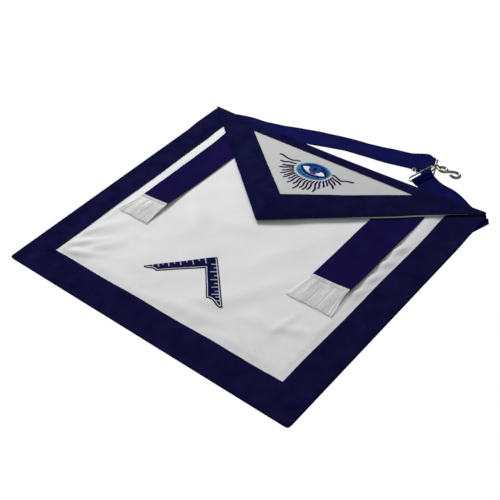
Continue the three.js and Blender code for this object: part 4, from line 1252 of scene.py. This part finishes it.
EYE_IRIS = {"x": 1.0, "y": 2.2, "radius": 7.5}
EYE_PUPIL = {"x": 0.8, "y": 2.4, "radius": 2.5}

# Rays below the eye, evenly turned round its middle, by turns long and short
RAY_FIRST_FOOT = 193.0
RAY_LAST_FOOT = 365.0
RAY_FOOT_X = 26.2
RAY_FOOT_Y = 18.0
RAY_WIDTH = 1.75
FIRST_RAY = [
    (-56.7, 7.6), (-52.3, 7.6), (-44.9, 5.7), (-39.3, 4.8), (-34.7, 5.0), (-30.6, 7.0), (-25.9, 7.7),
]
SECOND_RAY = [(-46.9, -3.0), (-40.9, -2.6), (-36.2, -0.1), (-30.8, 0.2), (-26.6, 1.0)]
LAST_RAY = [
    (52.5, 6.7), (47.2, 5.5), (43.0, 4.1), (39.6, 1.6), (33.5, 2.7), (27.0, 5.3), (22.8, 5.6),
]
RAY_ENDS = [
    (-39.1, -8.3), (-39.7, -13.6), (-32.1, -17.9), (-30.1, -24.2), (-23.0, -25.3), (-21.0, -29.7),
    (-13.9, -28.9), (-9.9, -35.9), (-2.7, -34.0), (2.9, -41.9), (8.1, -36.0), (13.1, -37.2), (17.5, -33.8),
    (25.1, -33.7), (26.2, -25.5), (29.4, -19.7), (31.2, -14.8), (39.9, -15.3), (37.9, -8.5), (42.4, -4.5),
]


def eye_rays():
    """Wavy rays, each from near the oval to its own outer end."""
    rays = [smooth_path(FIRST_RAY, 60), smooth_path(SECOND_RAY, 50), smooth_path(LAST_RAY, 60)]
    for k, end in enumerate(RAY_ENDS):
        turn = math.radians(lerp(RAY_FIRST_FOOT, RAY_LAST_FOOT, k / (len(RAY_ENDS) - 1)))
        inner = np.array([RAY_FOOT_X * math.cos(turn), RAY_FOOT_Y * math.sin(turn)])
        end = np.array(end)
        away = end - inner
        length = float(np.linalg.norm(away))
        side = np.array([-away[1], away[0]]) / length
        t = np.linspace(0, 1, 26)[:, None]
        wave = lerp(0.03, 0.055, math.sin(math.pi * k / (len(RAY_ENDS) - 1)))
        rays.append(inner + away * t - side * wave * length * np.sin(2 * math.pi * t))
    return rays


def build_eye():
    low, high = node_box("eye_emblem")
    centre = ((low + high) / 2)[:2]
    radius = ((high - low) / 2)[:2]

    def placed(points):
        return np.asarray(points, float) + centre

    def disc(spec, scale=1.0):
        ring = circle(spec["x"], spec["y"], spec["radius"] * scale, spec["radius"] * scale, 40)[:, :2]
        return placed(ring)

    def closed(points):
        return placed(smooth_path([*points, points[0]], 90)[:-1])

    slot = "embroidery_teal"
    oval = circle(centre[0], centre[1], radius[0], radius[1], 90)[:, :2]
    base = satin("eye_stitching", oval, 0.5, 90, 0.32, flap_top, TEAL_THREAD, slot)
    fills = table(
        "name outline spacing heading radius thread lift",
        ("upper_ring", closed(EYE_UPPER_RING), 0.5, 84, 0.3, BLUE_THREAD, 0.25),
        ("almond", closed(EYE_ALMOND), 0.5, 84, 0.3, DEEP_BLUE_THREAD, 0.4),
        ("iris_field", closed(EYE_IRIS_FIELD), 0.5, 84, 0.3, DEEP_BLUE_THREAD, 0.6),
        ("white_left", placed(EYE_WHITE_LEFT), 0.45, 100, 0.3, WHITE_THREAD, 0.75),
        ("white_right", placed(EYE_WHITE_RIGHT), 0.45, 100, 0.3, WHITE_THREAD, 0.75),
        ("iris", disc(EYE_IRIS), 0.5, 60, 0.3, BLUE_THREAD, 0.85),
        ("iris_bloom", disc(EYE_IRIS, 0.66), 0.5, 20, 0.28, DEEP_BLUE_THREAD, 1.0),
        ("iris_ring", disc(EYE_PUPIL, 1.55), 0.5, 120, 0.26, BLUE_THREAD, 1.15),
        ("pupil", disc(EYE_PUPIL), 0.45, 90, 0.28, NAVY_THREAD, 1.3),
    )
    pieces = []
    for row in fills:
        stitches = [row[key] for key in ("outline", "spacing", "heading", "radius")]
        name = f"eye_{row['name']}"
        pieces.append(satin(name, *stitches, flap_top, row["thread"], slot, lift=row["lift"]))
    lines = []
    for path, width, lift in ((EYE_LID, 0.9, 0.9), (EYE_UNDERLINE, 1.2, 0.8)):
        lines += cord_stitch(placed(smooth_path(path, 60)), width, flap_top, lift)
    for row in EYE_DASHES:
        turn = math.radians(row["heading"])
        reach = np.array([math.cos(turn), math.sin(turn)]) * 1.7
        middle = np.array([row["x"], row["y"]])
        lines += cord_stitch(placed([middle - reach, middle, middle + reach]), 0.9, flap_top, lift=0.55)
    pieces.append(make_tubes("eye_lines", lines, NAVY_THREAD, sides=5))
    rim = cord_stitch(placed(smooth_path(EYE_RIM, 30)), 1.3, flap_top, lift=0.95)
    pieces.append(make_tubes("eye_rim", rim, ROSE_THREAD, sides=5))
    rays = []
    for path in eye_rays():
        rays += cord_stitch(placed(path), RAY_WIDTH, flap_top, lift=0.1)
    pieces.append(make_tubes("eye_rays", rays, NAVY_THREAD, sides=5))
    join_into(base, pieces)
    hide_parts("eye_emblem")


# The square, measured from its outer corner as the panel's layout has it
SQUARE_OUTLINE = [
    (1.5, 0.1), (-57.5, -53.8), (-55.5, -54.9), (-52.0, -53.6), (-48.0, -51.6), (-44.0, -50.9),
    (-39.9, -51.9), (1.9, -19.2), (35.5, -53.0), (38.5, -51.9), (42.5, -51.7), (47.4, -53.2),
    (52.0, -55.0), (55.6, -55.4), (58.4, -53.5),
]
TICKS_LEFT = table(
    "x y reach",
    (-7.5, -9.3, 7.2),
    (-12.9, -13.4, 3.0),
    (-17.5, -18.5, 6.5),
    (-23.0, -22.3, 2.8),
    (-27.9, -27.2, 5.7),
    (-32.7, -31.3, 2.6),
    (-37.3, -36.0, 5.4),
    (-42.0, -39.9, 2.4),
    (-45.6, -43.3, 4.6),
    (-50.2, -47.4, 2.2),
)
TICKS_RIGHT = table(
    "x y reach",
    (3.9, -11.9, 6.7),
    (10.4, -14.3, 3.8),
    (11.3, -20.9, 8.1),
    (18.7, -23.2, 4.6),
    (19.6, -29.7, 8.0),
    (27.1, -31.8, 4.8),
    (28.6, -37.7, 7.6),
    (36.4, -40.7, 4.2),
    (37.2, -46.4, 7.2),
    (43.8, -47.5, 4.2),
    (47.2, -51.4, 4.0),
)
TICK_WIDTH = 0.95


def build_square():
    low, high = node_box("square_emblem")
    origin = np.array([SEWN_OFFSET, high[1]])
    outline = np.array(SQUARE_OUTLINE) + origin
    crotch = 7
    body = inset(outline, 1.95)
    left_arm = np.vstack([outline[0], inset(outline, 0.5)[1], body[3:crotch + 1]])
    right_arm = np.vstack([outline[0] - (0, 1.5), body[crotch:]])
    slot = "embroidery_navy"
    obj, right = [
        satin(name, arm, 0.5, angle, 0.3, panel_top, NAVY_THREAD, slot, lift=0.1)
        for name, arm, angle in (("square_stitching", left_arm, -47), ("square_right_arm", right_arm, 33))
    ]
    pieces = [right]
    hem = inset(outline, 0.5)
    edge = cord_stitch(np.vstack([hem, hem[:1]]), 1.2, panel_top, lift=0.1)
    pieces.append(make_tubes("square_outline", edge, NAVY_THREAD, sides=5))
    line = inset(outline, 1.45)
    white = cord_stitch(np.vstack([line[2:], line[:1]]), 0.6, panel_top, lift=0.3)
    ticks = []
    for rows, heading in ((TICKS_LEFT, -38.0), (TICKS_RIGHT, 33.0)):
        turn = math.radians(heading)
        step = np.array([math.cos(turn), math.sin(turn)])
        for row in rows:
            start = origin + (row["x"], row["y"])
            end = start + step * row["reach"]
            path = [start, (start + end) / 2, end]
            ticks += cord_stitch(path, TICK_WIDTH, panel_top, lift=0.45, pitch=0.42, slant=0.1)
    pieces.append(make_tubes("square_white_stitches", white, WHITE_THREAD, sides=5))
    pieces.append(make_tubes("square_ticks", ticks, LAVENDER_THREAD, sides=5))
    join_into(obj, pieces)
    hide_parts("square_emblem")


# Scene: surface, lights and camera
def floor():
    bpy.ops.mesh.primitive_plane_add(size=8, location=(0, 0, 0))
    plane = bpy.context.object
    plane.name = "floor"
    material, tree, shader = nodes_of("pale_surface")
    shader.inputs["Base Color"].default_value = (0.02, 0.02, 0.02, 1)
    shader.inputs["Roughness"].default_value = 0.9
    shader.inputs["Specular IOR Level"].default_value = 0.0
    shader.inputs["Emission Color"].default_value = (1, 1, 1, 1)
    shader.inputs["Emission Strength"].default_value = 1.0
    plane.data.materials.append(material)


def rigid(right, up, back, place):
    """A matrix from three axes and a place."""
    return Matrix([[right[i], up[i], back[i], place[i]] for i in range(3)] + [[0, 0, 0, 1]])


def area_light(name, place, size, power):
    """A square light that faces the middle of the scene."""
    data = bpy.data.lights.new(name, "AREA")
    data.shape = "SQUARE"
    data.size = size
    data.energy = power
    light = bpy.data.objects.new(name, data)
    bpy.context.scene.collection.objects.link(light)
    back = unit(np.array(place, float))
    right = unit(np.cross([0, 0, 1], back))
    light.matrix_world = rigid(right, np.cross(back, right), back, place)


def lights():
    area_light("key_light", (-1.1, 0.7, 1.15), size=0.7, power=44)
    area_light("fill_light", (0.9, -1.0, 1.4), size=1.6, power=9)
    world = bpy.context.scene.world or bpy.data.worlds.new("studio")
    bpy.context.scene.world = world
    world.use_nodes = True
    tree = world.node_tree
    background = tree.nodes["Background"]
    height = add_node(tree, "ShaderNodeSeparateXYZ")
    link(tree, add_node(tree, "ShaderNodeTexCoord").outputs["Generated"], height.inputs["Vector"])
    sky = ramp(tree, height.outputs["Z"], [(0.0, (0.02, 0.02, 0.02, 1)), (0.75, (1, 1, 1, 1))])
    link(tree, sky, background.inputs["Color"])
    background.inputs["Strength"].default_value = 0.55


def camera():
    """The photograph's viewpoint, solved from the border's corners and edges."""
    data = bpy.data.cameras.new("photo_camera")
    data.sensor_width = 36.0
    data.lens = 62.003
    data.clip_start = 0.01
    view = bpy.data.objects.new("photo_camera", data)
    bpy.context.scene.collection.objects.link(view)
    right = (0.74646, 0.65234, -0.13132)
    up = (-0.36111, 0.56288, 0.74349)
    back = (0.55892, -0.50757, 0.65573)
    place = (0.53757, -0.48489, 0.60746)
    view.matrix_world = rigid(right, up, back, place)
    bpy.context.scene.camera = view


def build_body():
    c = CORNERS
    panel = panel_cloth()
    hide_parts("panel")
    sides = [
        ("border_left", ("top_left", "foot_left", "inner_top_left", "inner_foot_left"), True),
        ("border_right", ("top_right", "foot_right", "inner_top_right", "inner_foot_right"), True),
        ("border_bottom", ("foot_left", "foot_right", "inner_foot_left", "inner_foot_right"), False),
    ]
    for node, (a, b, e, f), waist_end in sides:
        obj = border_ribbon(f"{node}_ribbon", [c[a], c[b]], [c[e], c[f]], waist_end)
        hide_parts(node)


def build_flap():
    cloth = flap_cloth()
    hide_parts("flap_body")
    for side in ("left", "right"):
        top = CORNERS[f"top_{side}"]
        inner_top = FLAP_INNER[f"top_{side}"]
        obj = flap_ribbon(f"flap_ribbon_{side}", [top, FLAP_TIP], [inner_top, FLAP_INNER["tip"]])
        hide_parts(f"flap_band_{side}")
    waist = waist_ribbon()
    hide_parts("flap_band_waist")


def build_ribbons():
    for spec in RIBBONS:
        ribbon = hanging_ribbon(spec)
        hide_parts(f"ribbon_{spec['name']}")
        threads = fringe_threads(spec)
        head = fringe_head(spec)
        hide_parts(f"fringe_{spec['name']}")


def build_straps():
    for name, *shape in (
        ("long", LONG_ROUTE, HOOK_LOOP, long_width, long_shift, 2.6),
        ("short", SHORT_ROUTE, EYE_LOOP, short_width, short_shift, 0.0),
    ):
        obj, length = strap(f"strap_{name}_webbing", *shape)
        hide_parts(f"strap_{name}")
    loop_wires()
    snake_hook()


camera()
floor()
lights()
bpy.context.scene.view_settings.view_transform = "Standard"
build_body()
build_flap()
build_ribbons()
build_straps()
build_square()
build_eye()
